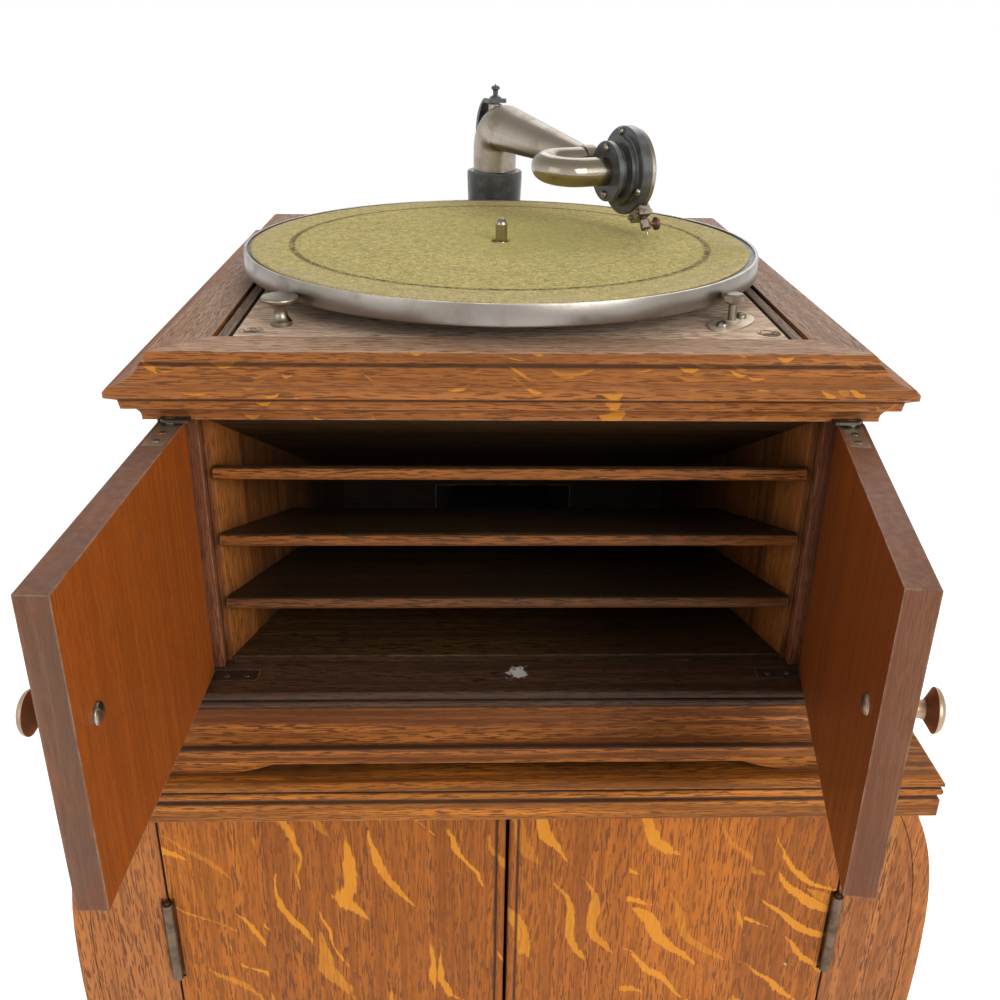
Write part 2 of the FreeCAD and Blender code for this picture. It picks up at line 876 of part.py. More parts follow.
def winding_shaft():
    pinion = gear(winding_y, train_z, wind_left, wind_left + gear_width, pinion_teeth, module_mm,
                  180 / pinion_teeth)
    end = side_outer - 1.0
    neck = end - socket_depth - 20.0
    shaft = rod(Vector(cheek_middle, winding_y, train_z), across, winding_shaft_radius, neck - cheek_middle)
    socket = rod(Vector(neck, winding_y, train_z), across, socket_outer_radius, end - neck)
    bore = rod(Vector(end - socket_depth, winding_y, train_z), across, socket_radius, socket_depth + 1)
    return pinion.fuse(shaft).fuse(socket).cut(bore).removeSplitter()


def intermediate_gear():
    pinion = gear(counter_y, train_z, barrel_right + 0.3, gear_right + 0.2, pinion_teeth, module_mm,
                  180 / pinion_teeth)
    x = turntable_offset
    wheel = gear(counter_y, train_z, x - 3, x + 3, worm_wheel_teeth, worm_module, 0)
    shaft = rod(Vector(barrel_right, counter_y, train_z), across, counter_shaft_radius,
                cheek_right + cheek_thick - barrel_right)
    return pinion.fuse(wheel).fuse(shaft).removeSplitter()


def turntable_spindle():
    x = turntable_offset
    low = board_under - cheek_depth + 1.2
    hub = top_z + rim_lift
    tip = top_z + spindle_rise
    r, top_r = spindle_radius, spindle_top_radius
    wheel_z = governor_z - 1.5
    stem = turned((0, low), [
        (r, low), (r, train_z - 11), (worm_radius, train_z - 10), (worm_radius, train_z + 10),
        (r, train_z + 11), (r, hub + rim_height - 1), (top_r, hub + rim_height),
        (top_r, tip - top_r * 1.3), ((top_r * 0.75, tip - top_r * 0.4), (0, tip))], Vector(x, 0, 0), upward)
    wheel = gear(0, 0, 0, 3.0, governor_wheel_teeth, worm_module, 0)
    wheel.rotate(Vector(0, 0, 0), Vector(0, 1, 0), -90)
    wheel.translate(Vector(x, 0, wheel_z))
    return stem.fuse(wheel).removeSplitter()


def governor():
    y, z = governor_y, governor_z
    shaft = rod(Vector(governor_left - cheek_thick / 2 + 0.2, y, z), across, governor_shaft_radius,
                governor_right + cheek_thick - governor_left - 0.4)
    worm = rod(Vector(turntable_offset - 12, y, z), across, governor_worm_radius, 24)
    mid = (cheek_right + cheek_thick + governor_right) / 2
    body = shaft.fuse(worm)
    for x in (mid - 12, mid + 9):
        body = body.fuse(rod(Vector(x, y, z), across, 6.0, 3.0))
    body = body.fuse(rod(Vector(mid + 13, y, z), across, 12.0, 2.0))
    for number in range(governor_balls):
        strip = box(mid - 12, mid + 12, -2, 2, 5.0, 6.0)
        ball_reach = 5.5 + governor_ball_radius * 0.8
        strip = strip.fuse(Part.makeSphere(governor_ball_radius, Vector(mid, 0, ball_reach)))
        strip.rotate(Vector(0, 0, 0), across, 360.0 * number / governor_balls)
        strip.translate(Vector(0, y, z))
        body = body.fuse(strip)
    return body.removeSplitter()


def winding_escutcheon():
    r = socket_outer_radius
    return turned((r + 0.8, 0), [(r + 8, 0), (r + 8, 0.8), ((r + 5, 2.2), (r + 1.6, 2.6)), (r + 0.8, 2.0)],
                  Vector(side_outer, winding_y, train_z), across)


def brake_knob():
    """Dished mushroom knob over the board, on a shaft with a lever under it."""
    r, h, s = brake_head_radius, brake_height, brake_shaft_radius
    foot, waist = r * 0.58, r * 0.35
    under = board_thick + face_gap
    lever_low = -under - lever_thick
    knob = turned((0, lever_low), [
        (s, lever_low), (s, 0), (foot, 0), (foot, h * 0.16), ((waist * 1.15, h * 0.30), (waist, h * 0.50)),
        ((r * 0.58, h * 0.72), (r * 0.94, h * 0.84)), ((r, h * 0.91), (r * 0.94, h)),
        ((r * 0.5, h * 0.965), (0, h * 0.955))], brake_place, upward)
    lever = box(-lever_width / 2, lever_length, -lever_width / 2, lever_width / 2, lever_low, -under)
    lever.rotate(Vector(0, 0, 0), upward, lever_turn)
    lever.translate(brake_place)
    return knob.fuse(lever).removeSplitter()


def speed_plate():
    """Oval plate with a low boss for the stem and two domed screws."""
    rim = Part.Ellipse(Vector(0, 0, 0), speed_plate_length / 2, speed_plate_width / 2).toShape()
    plate = Part.Face(Part.Wire(rim)).extrude(Vector(0, 0, speed_plate_thick))
    r, h = speed_boss_radius, speed_boss_height
    boss = turned((0, 0), [(r, 0), (r, h * 0.8), (r - h * 0.2, h), (0, h)], Vector(0, 0, 0), upward)
    bore = rod(Vector(0, 0, -1), upward, speed_stem_radius + turning_clearance, h + 2)
    pieces = [plate.fuse(boss).cut(bore).removeSplitter()]
    for x in (-speed_screw_offset, speed_screw_offset):
        foot = Vector(x, 0, speed_plate_thick)
        pieces.append(domed_head(speed_screw_radius, speed_screw_height, foot, upward))
    whole = group(*pieces)
    whole.rotate(Vector(0, 0, 0), upward, speed_plate_turn)
    whole.translate(speed_place)
    return whole


def speed_screw():
    """Stem with a flat knurled head."""
    r, h, s = speed_head_radius, speed_height, speed_stem_radius
    low = -board_thick - 6
    head = h - speed_head_thick
    return turned((0, low), [
        (s, low), (s, head - 0.8), (s + 1.0, head), (r - 0.5, head), (r, head + 0.5), (r, h - 0.8),
        (r - 0.6, h - 0.2), ((r * 0.6, h - 0.05), (0, h))], speed_place, upward)


# Tone arm
pivot = Vector(turntable_offset, pivot_y, top_z)
arm_ahead = level(arm_heading)
arm_side = level(arm_heading + 90)
heading = level(box_heading)
rightward = level(box_heading + 90)
arm_end = pivot + arm_ahead * arm_reach + Vector(0, 0, arm_end_rise)
droop = math.radians(gooseneck_droop)
forward = heading * math.cos(droop) - upward * math.sin(droop)
box_axis = arm_end + forward * gooseneck_spread
box_front = flange_start + box_depth
bend_z = arm_axis_rise - arm_bend
arm_span = Vector(arm_reach - arm_bend, 0, arm_end_rise - bend_z)
arm_dip = math.asin(arm_bend / arm_span.Length) - math.atan2(arm_span.z, arm_span.x)
boss_top = arm_axis_rise + arm_radius - arm_boss_drop
yoke_reach = box_radius + yoke_height / 2 + face_gap
bar_plane = box_front + bar_ahead
stem_plane = box_front + ring_thick + stem_radius + 2 * face_gap
needle_floor = deck_z + felt_thick + needle_gap


def tonearm_collar():
    """Turned seat on the back rail, slightly wider at the top, with a rounded lip."""
    bore = arm_radius + turning_clearance
    r, h = collar_radius, collar_height
    return turned((throat_radius, 0), [
        (r - 1.2, 0), (r, h * 0.86), (r, h - 1.5), ((r - 0.5, h - 0.5), (r - 1.5, h)), (bore, h),
        (bore, collar_seat), (throat_radius, collar_seat)], pivot, upward)


def tonearm_bracket():
    """Strap up the back of the elbow, with the finial screw that steadies the pivot."""
    inner = arm_radius + bracket_gap
    outer = inner + bracket_thick
    low = boss_top + bracket_gap
    top = low + bracket_thick
    strap = outline(lambda r, h: Vector(r, -bracket_width / 2, h), (inner, bracket_foot), [
        (outer, bracket_foot), (outer, bend_z), ((outer * 0.84, low - 6.0), (inner * 0.30, top)),
        (-bracket_lip, top), (-bracket_lip, low), (inner * 0.42, low),
        ((inner * 0.86, low - 9.0), (inner, bend_z))]).extrude(Vector(0, bracket_width, 0))
    strap = strap.cut(rod(Vector(0, 0, 0), upward, collar_radius, collar_height))
    f = finial_radius
    strap = strap.cut(rod(Vector(0, 0, low - 1), upward, f, bracket_thick + 2))
    foot = low - 4.0
    screw = turned((0, foot), [
        (f, foot), (f, top), (f + 2.2, top), (f + 1.6, top + 1.2), (f * 0.8, top + 2.4),
        (f * 0.9, top + 5.6), (f + 1.0, top + 6.6), ((f + 0.7, top + 7.8), (0.8, top + 8.8)),
        (0, top + 10.2)],
        Vector(0, 0, 0), upward)
    pieces = group(strap, screw)
    pieces.rotate(Vector(0, 0, 0), upward, bracket_turn)
    pieces.translate(pivot)
    return pieces


def arm_body(shrink):
    """Vertical tube, elbow and tapered arm about the pivot; shrink makes the bore."""
    r = arm_radius - shrink
    foot = collar_seat + face_gap - (1 if shrink else 0)
    tube = rod(pivot + upward * foot, upward, r, bend_z - foot)
    centre = pivot + arm_ahead * arm_bend + upward * bend_z
    ring = Part.Face(Part.Wire(Part.makeCircle(r, pivot + upward * bend_z, upward)))
    elbow = ring.revolve(centre, arm_side, 90 + math.degrees(arm_dip))
    start = centre + (arm_ahead * math.sin(arm_dip) + upward * math.cos(arm_dip)) * arm_bend
    run = arm_end - start
    cone = Part.makeCone(r, arm_end_radius - shrink, run.Length, start, run)
    return tube.fuse(elbow).fuse(cone)


def tonearm_tube():
    """Hollow arm with the pivot's boss on its elbow and the gooseneck's socket across its end."""
    boss = rod(pivot + upward * arm_axis_rise, upward, arm_boss_radius, boss_top - arm_axis_rise)
    mouth = arm_end - rightward * socket_left
    depth = socket_left + socket_right
    socket = rod(mouth, rightward, gooseneck_radius + socket_wall, depth)
    cap = Part.makeSphere(arm_end_radius - cap_shoulder, arm_end)
    body = arm_body(0).fuse(boss).fuse(socket).fuse(cap)
    bore = rod(mouth, rightward, gooseneck_radius + turning_clearance, depth - socket_cap)
    way = rod(mouth - rightward * arm_radius, rightward, gooseneck_radius + face_gap, arm_radius)
    pin_hole = rod(pivot + upward * (boss_top - 3.6), upward, finial_radius + turning_clearance, 6)
    return body.cut(arm_body(arm_wall)).cut(bore).cut(way).cut(pin_hole)


def neck_tube(radius, lead):
    """U of two parallel legs: one in the arm's socket, one into the sound box."""
    left = arm_end - rightward * gooseneck_left
    seat = gooseneck_left + socket_right - socket_cap - face_gap
    back_leg = rod(left, rightward, radius, seat + lead)
    disc = Part.Face(Part.Wire(Part.makeCircle(radius, left, rightward)))
    bend = disc.revolve(left + forward * (gooseneck_spread / 2), forward.cross(rightward), 180)
    reach = gooseneck_left + flange_start
    front_leg = rod(left + forward * gooseneck_spread, rightward, radius, reach + lead)
    return back_leg.fuse(bend).fuse(front_leg).removeSplitter()


def gooseneck():
    return neck_tube(gooseneck_radius, 0).cut(neck_tube(gooseneck_radius - arm_wall, 1))


def box_point(along, ahead=0.0, up=0.0):
    """Point by the sound box: along its axis, ahead of it and above it."""
    return box_axis + rightward * along + heading * ahead + upward * up


def box_screw(along, reach, degrees):
    """Screw head on a face of the sound box that looks back to the gooseneck."""
    angle = math.radians(degrees)
    place = box_point(along, reach * math.cos(angle), reach * math.sin(angle))
    return domed_head(box_screw_radius, box_screw_height, place, rightward * -1)


def reproducer():
    """Sound box: flange, stepped back and rim turned in one, with its screws."""
    f, b, d = flange_radius, box_radius, box_depth
    t = flange_thick
    seat = b - ring_wall - 1.5
    shoulder = d * 0.62
    shell = turned((0, 0), [
        (f, 0), (f, t), (f * 0.86, t), (f * 0.86, d * 0.36), (b * 0.78, d * 0.40), (b * 0.78, d * 0.54),
        ((b * 0.79, d * 0.60), (b * 0.83, shoulder)), (b - 0.8, shoulder), (b, shoulder + 0.8),
        (b, d - 1.2), ((b - 0.3, d - 0.3), (b - 1.2, d)), (seat, d), (seat, d - mica_sink),
        (0, d - mica_sink)],
        box_point(flange_start), rightward)
    screws = [box_screw(flange_start, f - flange_screw_inset, degrees) for degrees in (90, 270)]
    for number in range(rim_screws):
        degrees = 96 + 360 * number / rim_screws
        screws.append(box_screw(flange_start + shoulder, b - rim_screw_inset, degrees))
    return group(shell, *screws)


def reproducer_ring():
    b = box_radius - 1.4
    w, t = ring_wall, ring_thick
    return turned((b - w, 0), [(b, 0), (b, t * 0.6), ((b - 0.2, t * 0.85), (b - 0.9, t)), (b - w, t)],
                  box_point(box_front), rightward)


def diaphragm():
    r = box_radius - ring_wall - 1.6
    return rod(box_point(box_front - mica_sink), rightward, r, diaphragm_thick)


def needle_line():
    """Middle of the yoke under the sound box's rim, and the needle's tip on the felt."""
    lean = math.radians(needle_lean)
    hub = box_point(bar_plane, yoke_reach * math.sin(lean), -yoke_reach * math.cos(lean))
    drop = hub.z - needle_floor
    tip = hub + heading * (drop * math.tan(lean)) - upward * drop
    return hub, tip


def needle_bar():
    """Yoke with lugs on the rim, chuck under it, and the bar that bends up to the diaphragm."""
    hub, tip = needle_line()
    down = (tip - hub).normalize()
    side = down.cross(rightward)
    yoke = box(-yoke_length / 2, yoke_length / 2, -yoke_height / 2, yoke_height / 2, 0, yoke_thick)
    back = hub + rightward * (box_front - yoke_behind - bar_plane)
    yoke.Placement = FreeCAD.Placement(back, FreeCAD.Rotation(side, down, rightward, "XYZ"))
    b, c = bar_radius, chuck_radius
    shank = turned((0, 0), [
        (b, 0), (b, chuck_start), (c, chuck_start + c - b), (c, chuck_end), (0, chuck_end)], hub, down)
    bar = yoke.fuse(shank)
    rim = rod(box_point(flange_start), rightward, box_radius, box_depth)
    for sign in (-1, 1):
        foot = back + side * (sign * lug_offset)
        seat = foot + rightward * (yoke_behind / 2)
        bar = bar.fuse(rod(seat, down * -1, lug_radius, yoke_height).cut(rim))
        bar = bar.fuse(rod(foot - rightward * yoke_pin_proud, rightward, yoke_pin_radius,
                           yoke_thick + 2 * yoke_pin_proud))
    corner = hub + rightward * (stem_plane - bar_plane)
    bar = bar.fuse(rod(hub, rightward, stem_radius, stem_plane - bar_plane))
    bar = bar.fuse(Part.makeSphere(stem_radius, corner))
    bar = bar.fuse(rod(corner, down * -1, stem_radius, yoke_reach))
    button_start = box_front - face_gap
    button_end = stem_plane + 1.6 * stem_radius
    bar = bar.fuse(rod(box_point(button_start), rightward, button_radius, button_end - button_start))
    needle_hole = rod(hub + down * (chuck_start - 1.0), down, needle_radius + 0.02, chuck_end)
    screw_start = hub + down * chuck_screw_drop + rightward * (needle_radius / 2)
    screw_hole = rod(screw_start, rightward, chuck_screw_radius + turning_clearance, 2 * c)
    return bar.cut(needle_hole).cut(screw_hole).removeSplitter()


def needle_screw():
    hub, tip = needle_line()
    down = (tip - hub).normalize()
    foot = hub + down * chuck_screw_drop + rightward * (needle_radius + 0.1)
    s, r = chuck_screw_radius, chuck_screw_head
    neck = chuck_radius + 0.9
    return turned((0, 0), [(s, 0), (s, neck), (s + 0.8, neck + 1.0), (r, neck + 2.2), (r, neck + 3.8),
                           ((r * 0.65, neck + 3.3), (0, neck + 3.0))], foot, rightward)


def needle():
    hub, tip = needle_line()
    down = (tip - hub).normalize()
    length = (tip - hub).Length
    r = needle_radius
    return turned((0, chuck_start), [
        (r, chuck_start), (r, length - needle_point), (r * 0.17, length), (0, length)], hub, down)


# Record cabinet
def side_curve(shift):
    """Swelling line of the cabinet's side, from the toe to the shoulder."""
    points = [(toe_half_width, 0), (ankle_half_width, ankle_height), (shin_half_width, shin_height),
              (knee_half_width, knee_height), (crest_half_width, crest_height),
              (shoulder_half_width, cabinet_under)]
    curve = Part.BSplineCurve()
    curve.interpolate([Vector(x - shift, 0, z) for x, z in points])
    return curve.toShape()


def curved_face(outer, inner_points):
    """Face between the side curve and an inner line given from the top down."""
    start, end = outer.Vertexes[0].Point, outer.Vertexes[-1].Point
    edges = [outer]
    here = end
    for step in inner_points + [(start.x, start.z)]:
        if isinstance(step[0], tuple):
            there = Vector(step[1][0], 0, step[1][1])
            edges.append(Part.Arc(here, Vector(step[0][0], 0, step[0][1]), there).toShape())
        else:
            there = Vector(step[0], 0, step[1])
            edges.append(Part.makeLine(here, there))
        here = there
    return Part.Face(Part.Wire(edges))


def cabinet_top():
    profile = [
        (4.2, 0), ((1.2, 1.2), (0, 4.2)), (2.2, 5.6), ((0.2, 8.4), (2.2, 11.2)), (2.2, 12.6), (0.8, 13.8),
        (0.8, top_thick)]
    return moulded_slab(top_half_width, top_front, top_back, cabinet_height, profile)


def cabinet_sides():
    outer = side_curve(0)
    inner = side_curve(panel_thick)
    top_in, top_out = inner.Vertexes[-1].Point, outer.Vertexes[-1].Point
    low_in, low_out = inner.Vertexes[0].Point, outer.Vertexes[0].Point
    wire = Part.Wire([outer, Part.makeLine(top_out, top_in), inner, Part.makeLine(low_in, low_out)])
    panel = Part.Face(wire).extrude(Vector(0, cabinet_back + cabinet_front, 0))
    panel.translate(Vector(0, -cabinet_front, 0))
    near = -cabinet_front + arch_margin
    far = cabinet_back - arch_margin
    crown = ((near + far) / 2, arch_height)
    arch = along_x((near, -1), [(near, arch_spring), (crown, (far, arch_spring)), (far, -1)],
                   post_inner, knee_half_width + panel_thick)
    return both_sides(panel.cut(arch))


def post_face():
    toe = toe_half_width - panel_thick
    width = shoulder_half_width - panel_thick - post_inner
    inner_foot = toe - width - foot_inset
    bend = ankle_height
    return curved_face(side_curve(panel_thick), [
        (post_inner, cabinet_under), (post_inner, bend),
        ((post_inner + (inner_foot - post_inner) * 0.3, bend * 0.5), (inner_foot, 0))])


def cabinet_posts():
    face = post_face()
    post = face.extrude(Vector(0, leg_depth, 0))
    front = post.copy()
    front.translate(Vector(0, -cabinet_front, 0))
    front = front.cut(knuckle_recesses())
    back = post.copy()
    back.translate(Vector(0, cabinet_back - leg_depth, 0))
    return group(front, back, mirrored(front), mirrored(back))


def cabinet_back_panel():
    return box(-post_inner, post_inner, inner_back, inner_back + rear_thick, ankle_height, cabinet_under)


def cabinet_floor():
    top = cabinet_door_bottom - cabinet_door_clear
    front = -cabinet_front + apron_setback + apron_thick
    board = box(-floor_half_width, floor_half_width, front, inner_back, top - floor_thick, top)
    return board.cut(cabinet_posts())


def cabinet_apron():
    top = cabinet_door_bottom - cabinet_door_clear
    low = top - apron_depth
    x = post_inner
    return along_y((-x, top), [(-x, low), ((0, low + apron_rise), (x, low)), (x, top)],
                   -cabinet_front + apron_setback, -cabinet_front + apron_setback + apron_thick)


def cabinet_shelf():
    front = -cabinet_front + cabinet_door_thick + shelf_setback
    return box(-post_inner, post_inner, front, inner_back, shelf_height, shelf_height + shelf_thick)


def record_dividers():
    front = -cabinet_front + cabinet_door_thick + shelf_setback + divider_setback
    low = cabinet_door_bottom - cabinet_door_clear
    boards = []
    pitch = 2 * post_inner / (divider_count + 1)
    for number in range(divider_count):
        x = -post_inner + (number + 1) * pitch
        cut = shelf_height - low
        boards.append(along_x((front, low), [
            (front, low + cut * 0.35), ((front + 22, low + cut * 0.55), (front, low + cut * 0.75)),
            (front, shelf_height), (inner_back, shelf_height), (inner_back, low)],
            x - divider_thick / 2, x + divider_thick / 2))
    return group(*boards)


hinge_x = post_inner - hinge_leaf_thick - hinge_gap / 2
door_edge = hinge_x - hinge_gap / 2 - hinge_leaf_thick
hinge_y = -cabinet_front - hinge_axis_proud


def hinge_centres():
    return (cabinet_door_bottom + hinge_inset, cabinet_door_top - hinge_inset)


def knuckle_recesses():
    """Room for the knuckles in the front corners of door and post."""
    reach = hinge_radius + 2 * face_gap
    depth = hinge_radius - hinge_axis_proud + face_gap
    slots = []
    for z in hinge_centres():
        half = hinge_length / 2 + 2.0
        slots.append(box(hinge_x - reach, hinge_x + reach, -cabinet_front - 1, -cabinet_front + depth,
                         z - half, z + half))
    return group(*slots)


def knuckle(z0, z1, radius):
    return rod(Vector(hinge_x, hinge_y, z0), upward, radius, z1 - z0)


def hinge_half(z, fixed):
    """Fixed half: two outer knuckles, pin and leaf on the post. Door half: middle knuckle and leaf."""
    third = hinge_length / 6
    low, high = z - hinge_length / 2, z + hinge_length / 2
    leaf_end = -cabinet_front + cabinet_door_thick - 2.0
    if fixed:
        leaf = box(post_inner - hinge_leaf_thick, post_inner, hinge_y, leaf_end, low, high)
        leaf = leaf.cut(knuckle(z - third - hinge_gap, z + third + hinge_gap, hinge_radius + 0.3))
        for z0, z1 in ((low, z - third - hinge_gap), (z + third + hinge_gap, high)):
            leaf = leaf.fuse(knuckle(z0, z1, hinge_radius))
        return leaf.fuse(knuckle(low - 1.5, high + 1.5, hinge_pin_radius)).removeSplitter()
    leaf = box(door_edge, door_edge + hinge_leaf_thick, hinge_y, leaf_end, low, high)
    for z0, z1 in ((low - 1, z - third), (z + third, high + 1)):
        leaf = leaf.cut(knuckle(z0, z1, hinge_radius + 0.3))
    body = leaf.fuse(knuckle(z - third, z + third, hinge_radius))
    return body.cut(knuckle(low - 2, high + 2, hinge_pin_radius + turning_clearance)).removeSplitter()


def cabinet_hinges():
    halves = [hinge_half(z, True) for z in hinge_centres()]
    return group(*halves, *[mirrored(half) for half in halves])


def cabinet_leaves():
    return group(*[hinge_half(z, False) for z in hinge_centres()])


def cabinet_door():
    gap = cabinet_meeting_gap
    y0, y1 = -cabinet_front, -cabinet_front + cabinet_door_thick
    slab = box(gap, door_edge, y0, y1, cabinet_door_bottom, cabinet_door_top)
    edge = gap + bead_width
    crown = ((gap + bead_width / 2, y0 - bead_rise), (edge, y0))
    bead = along_z((gap, y0 + 1), [(gap, y0), crown, (edge, y0 + 1)], cabinet_door_bottom, cabinet_door_top)
    return slab.fuse(bead).removeSplitter().cut(knuckle_recesses())


def cabinet_knob():
    back = -cabinet_front + cabinet_door_thick
    return knob_with_screw(cabinet_knob_inset, -cabinet_front, back, cabinet_knob_height)


def build():
    nodes = {}
    nodes["top_frame_rails"], nodes["top_frame_sides"] = top_frame()
    nodes["base_front"], nodes["base_sides"] = base_moulding()
    plain = (motor_board, board_screws, board_rests, case_sides, case_posts, case_back, case_bottom,
             horn_sides, horn_boards, louvres, horn_throat, pivot_plates, turntable_plate, turntable_felt,
             turntable_spindle, motor_frame, spring_barrel, winding_wheel, winding_shaft, intermediate_gear,
             governor, winding_escutcheon, brake_knob, speed_plate, speed_screw, tonearm_collar,
             tonearm_bracket, tonearm_tube, gooseneck, reproducer, reproducer_ring, diaphragm, needle_bar,
             needle_screw, needle, cabinet_top, cabinet_sides, cabinet_posts, cabinet_floor, cabinet_apron,
             cabinet_shelf, record_dividers, cabinet_hinges)
    for maker in plain:
        nodes[maker.__name__] = maker()
    nodes["cabinet_back"] = cabinet_back_panel()
    for side, name in ((-1, "left"), (1, "right")):
        nodes["upper_door_" + name] = opened(door_slab(side), side)
        nodes["upper_leaves_" + name] = opened(door_leaves(side), side)
        nodes["upper_knob_" + name] = opened(door_knob(side), side)
        for stem, maker in (("cabinet_door_", cabinet_door), ("cabinet_leaves_", cabinet_leaves),
                            ("cabinet_knob_", cabinet_knob)):
            nodes[stem + name] = maker() if side > 0 else mirrored(maker())
    return nodes


def place(nodes):
    """Centre the whole over the origin along Y, from the open left door to the cabinet's back."""
    front = min(nodes["upper_door_left"].BoundBox.YMin, nodes["upper_door_right"].BoundBox.YMin)
    shift = Vector(0, -(front + top_back) / 2, 0)
    for shape in nodes.values():
        shape.translate(shift)
    print("moved along Y by %.3f" % shift.y)


def main():
    os.makedirs("parts", exist_ok=True)
    nodes = build()
    place(nodes)
    for name, shape in nodes.items():
        if not shape.isValid():
            print("invalid", name)
        shape.exportStep("parts/%s.step" % name)
    print(len(nodes), "nodes")


main()
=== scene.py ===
"""Looks of a lidless talking machine that stands on its oak record cabinet."""

import json
import logging
import math
import random
from dataclasses import dataclass, field, replace
from enum import Enum
from typing import Callable, Dict, Iterable, List, Optional, Sequence, Tuple, Union

import bmesh
import bpy
from mathutils import Matrix, Vector, noise

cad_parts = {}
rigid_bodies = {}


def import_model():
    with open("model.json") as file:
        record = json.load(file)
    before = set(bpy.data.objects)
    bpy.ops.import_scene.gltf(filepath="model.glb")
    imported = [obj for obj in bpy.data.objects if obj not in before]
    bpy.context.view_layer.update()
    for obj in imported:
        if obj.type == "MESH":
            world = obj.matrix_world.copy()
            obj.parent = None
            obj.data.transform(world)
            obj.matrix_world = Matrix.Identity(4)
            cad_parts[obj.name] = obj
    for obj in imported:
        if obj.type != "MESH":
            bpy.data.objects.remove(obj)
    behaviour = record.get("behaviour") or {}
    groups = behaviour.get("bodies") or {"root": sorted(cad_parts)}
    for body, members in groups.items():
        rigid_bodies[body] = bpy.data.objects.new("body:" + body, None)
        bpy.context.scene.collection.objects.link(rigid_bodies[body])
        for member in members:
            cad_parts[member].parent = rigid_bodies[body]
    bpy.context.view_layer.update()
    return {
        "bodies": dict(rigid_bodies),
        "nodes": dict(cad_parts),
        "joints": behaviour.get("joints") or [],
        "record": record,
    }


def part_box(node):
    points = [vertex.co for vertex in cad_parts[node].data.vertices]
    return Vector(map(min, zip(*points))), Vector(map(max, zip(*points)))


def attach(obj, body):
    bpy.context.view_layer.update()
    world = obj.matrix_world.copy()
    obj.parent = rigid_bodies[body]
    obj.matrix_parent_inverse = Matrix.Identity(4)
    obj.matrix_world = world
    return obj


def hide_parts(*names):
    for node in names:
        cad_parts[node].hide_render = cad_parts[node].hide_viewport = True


LOG = logging.getLogger("record_cabinet")

Colour = Tuple[float, float, float]
Place = Tuple[float, float, float]
Box = Tuple[Vector, Vector]
Loop = List[bmesh.types.BMVert]
Node = bpy.types.Node
Tree = bpy.types.NodeTree
Material = bpy.types.Material
Shape = bmesh.types.BMesh
Value = Union["Wire", float, Tuple[float, ...]]

MM = 0.001
SIDEWAYS, INWARD, UP = 0, 1, 2
ABOVE = Vector((0.0, 0.0, 1.0))
FORWARD = (0.0, -1.0, 0.0)

# Dark colour of deposits, also laid on as painted shade in corners and in the steps of mouldings.
GRIME_AND_SHADE = (0.018, 0.009, 0.005)
# Near-black of the painted shade that darkens the horn towards the back.
PAINTED_SHADE_BLACK = (0.006, 0.004, 0.003)
CHIP = (0.62, 0.50, 0.36)
PAINT = (0.70, 0.68, 0.64)

# Waves per metre across, through and along the grain, or along an object's own axes.
BEND_WAVES = (16.0, 16.0, 2.2)
STREAK_WAVES = (260.0, 260.0, 5.0)
BROAD_WAVES = (38.0, 38.0, 3.0)
PORE_WAVES = (1350.0, 1350.0, 105.0)
FLECK_RIM_WAVES = (520.0, 520.0, 110.0)
SCRATCH_WAVES = (260.0, 2600.0, 700.0)
BALD_WAVES = (11.0, 11.0, 11.0)

BOARD_SHIFT = 3.7
BEND_DEPTH = 0.012
FAR_AWAY = (5.2, 1.3, 8.1)
FLECK_COVER = 0.85
STREAK_RANGE = (0.3, 0.7)
FIGURE = ("Board Width", "Fleck Length", "Fleck Width", "Fleck Lean", "Fleck Swing", "Fleck Bow",
          "Fleck Share", "Seed")


def sign(operation: str, swapped: bool = False) -> Callable[..., "Wire"]:
    """A sign of arithmetic between wires that adds one Math node.

    Args:
        operation: The node's operation.
        swapped: Whether the wire comes second.

    Returns:
        The method of the sign.
    """
    def reckon(wire: "Wire", other: "Value" = 0.0) -> "Wire":
        """Result of the sign."""
        return wire.graph.math(operation, *((other, wire) if swapped else (wire, other)))
    return reckon


@dataclass(frozen=True)
class Wire:
    """A node's output that can be reckoned with."""

    graph: "Graph"
    socket: bpy.types.NodeSocket

    __add__ = sign("ADD")
    __sub__ = sign("SUBTRACT")
    __rsub__ = sign("SUBTRACT", swapped=True)
    __mul__ = sign("MULTIPLY")
    __truediv__ = sign("DIVIDE")
    __rtruediv__ = sign("DIVIDE", swapped=True)
    __lt__ = sign("LESS_THAN")
    __abs__ = sign("ABSOLUTE")


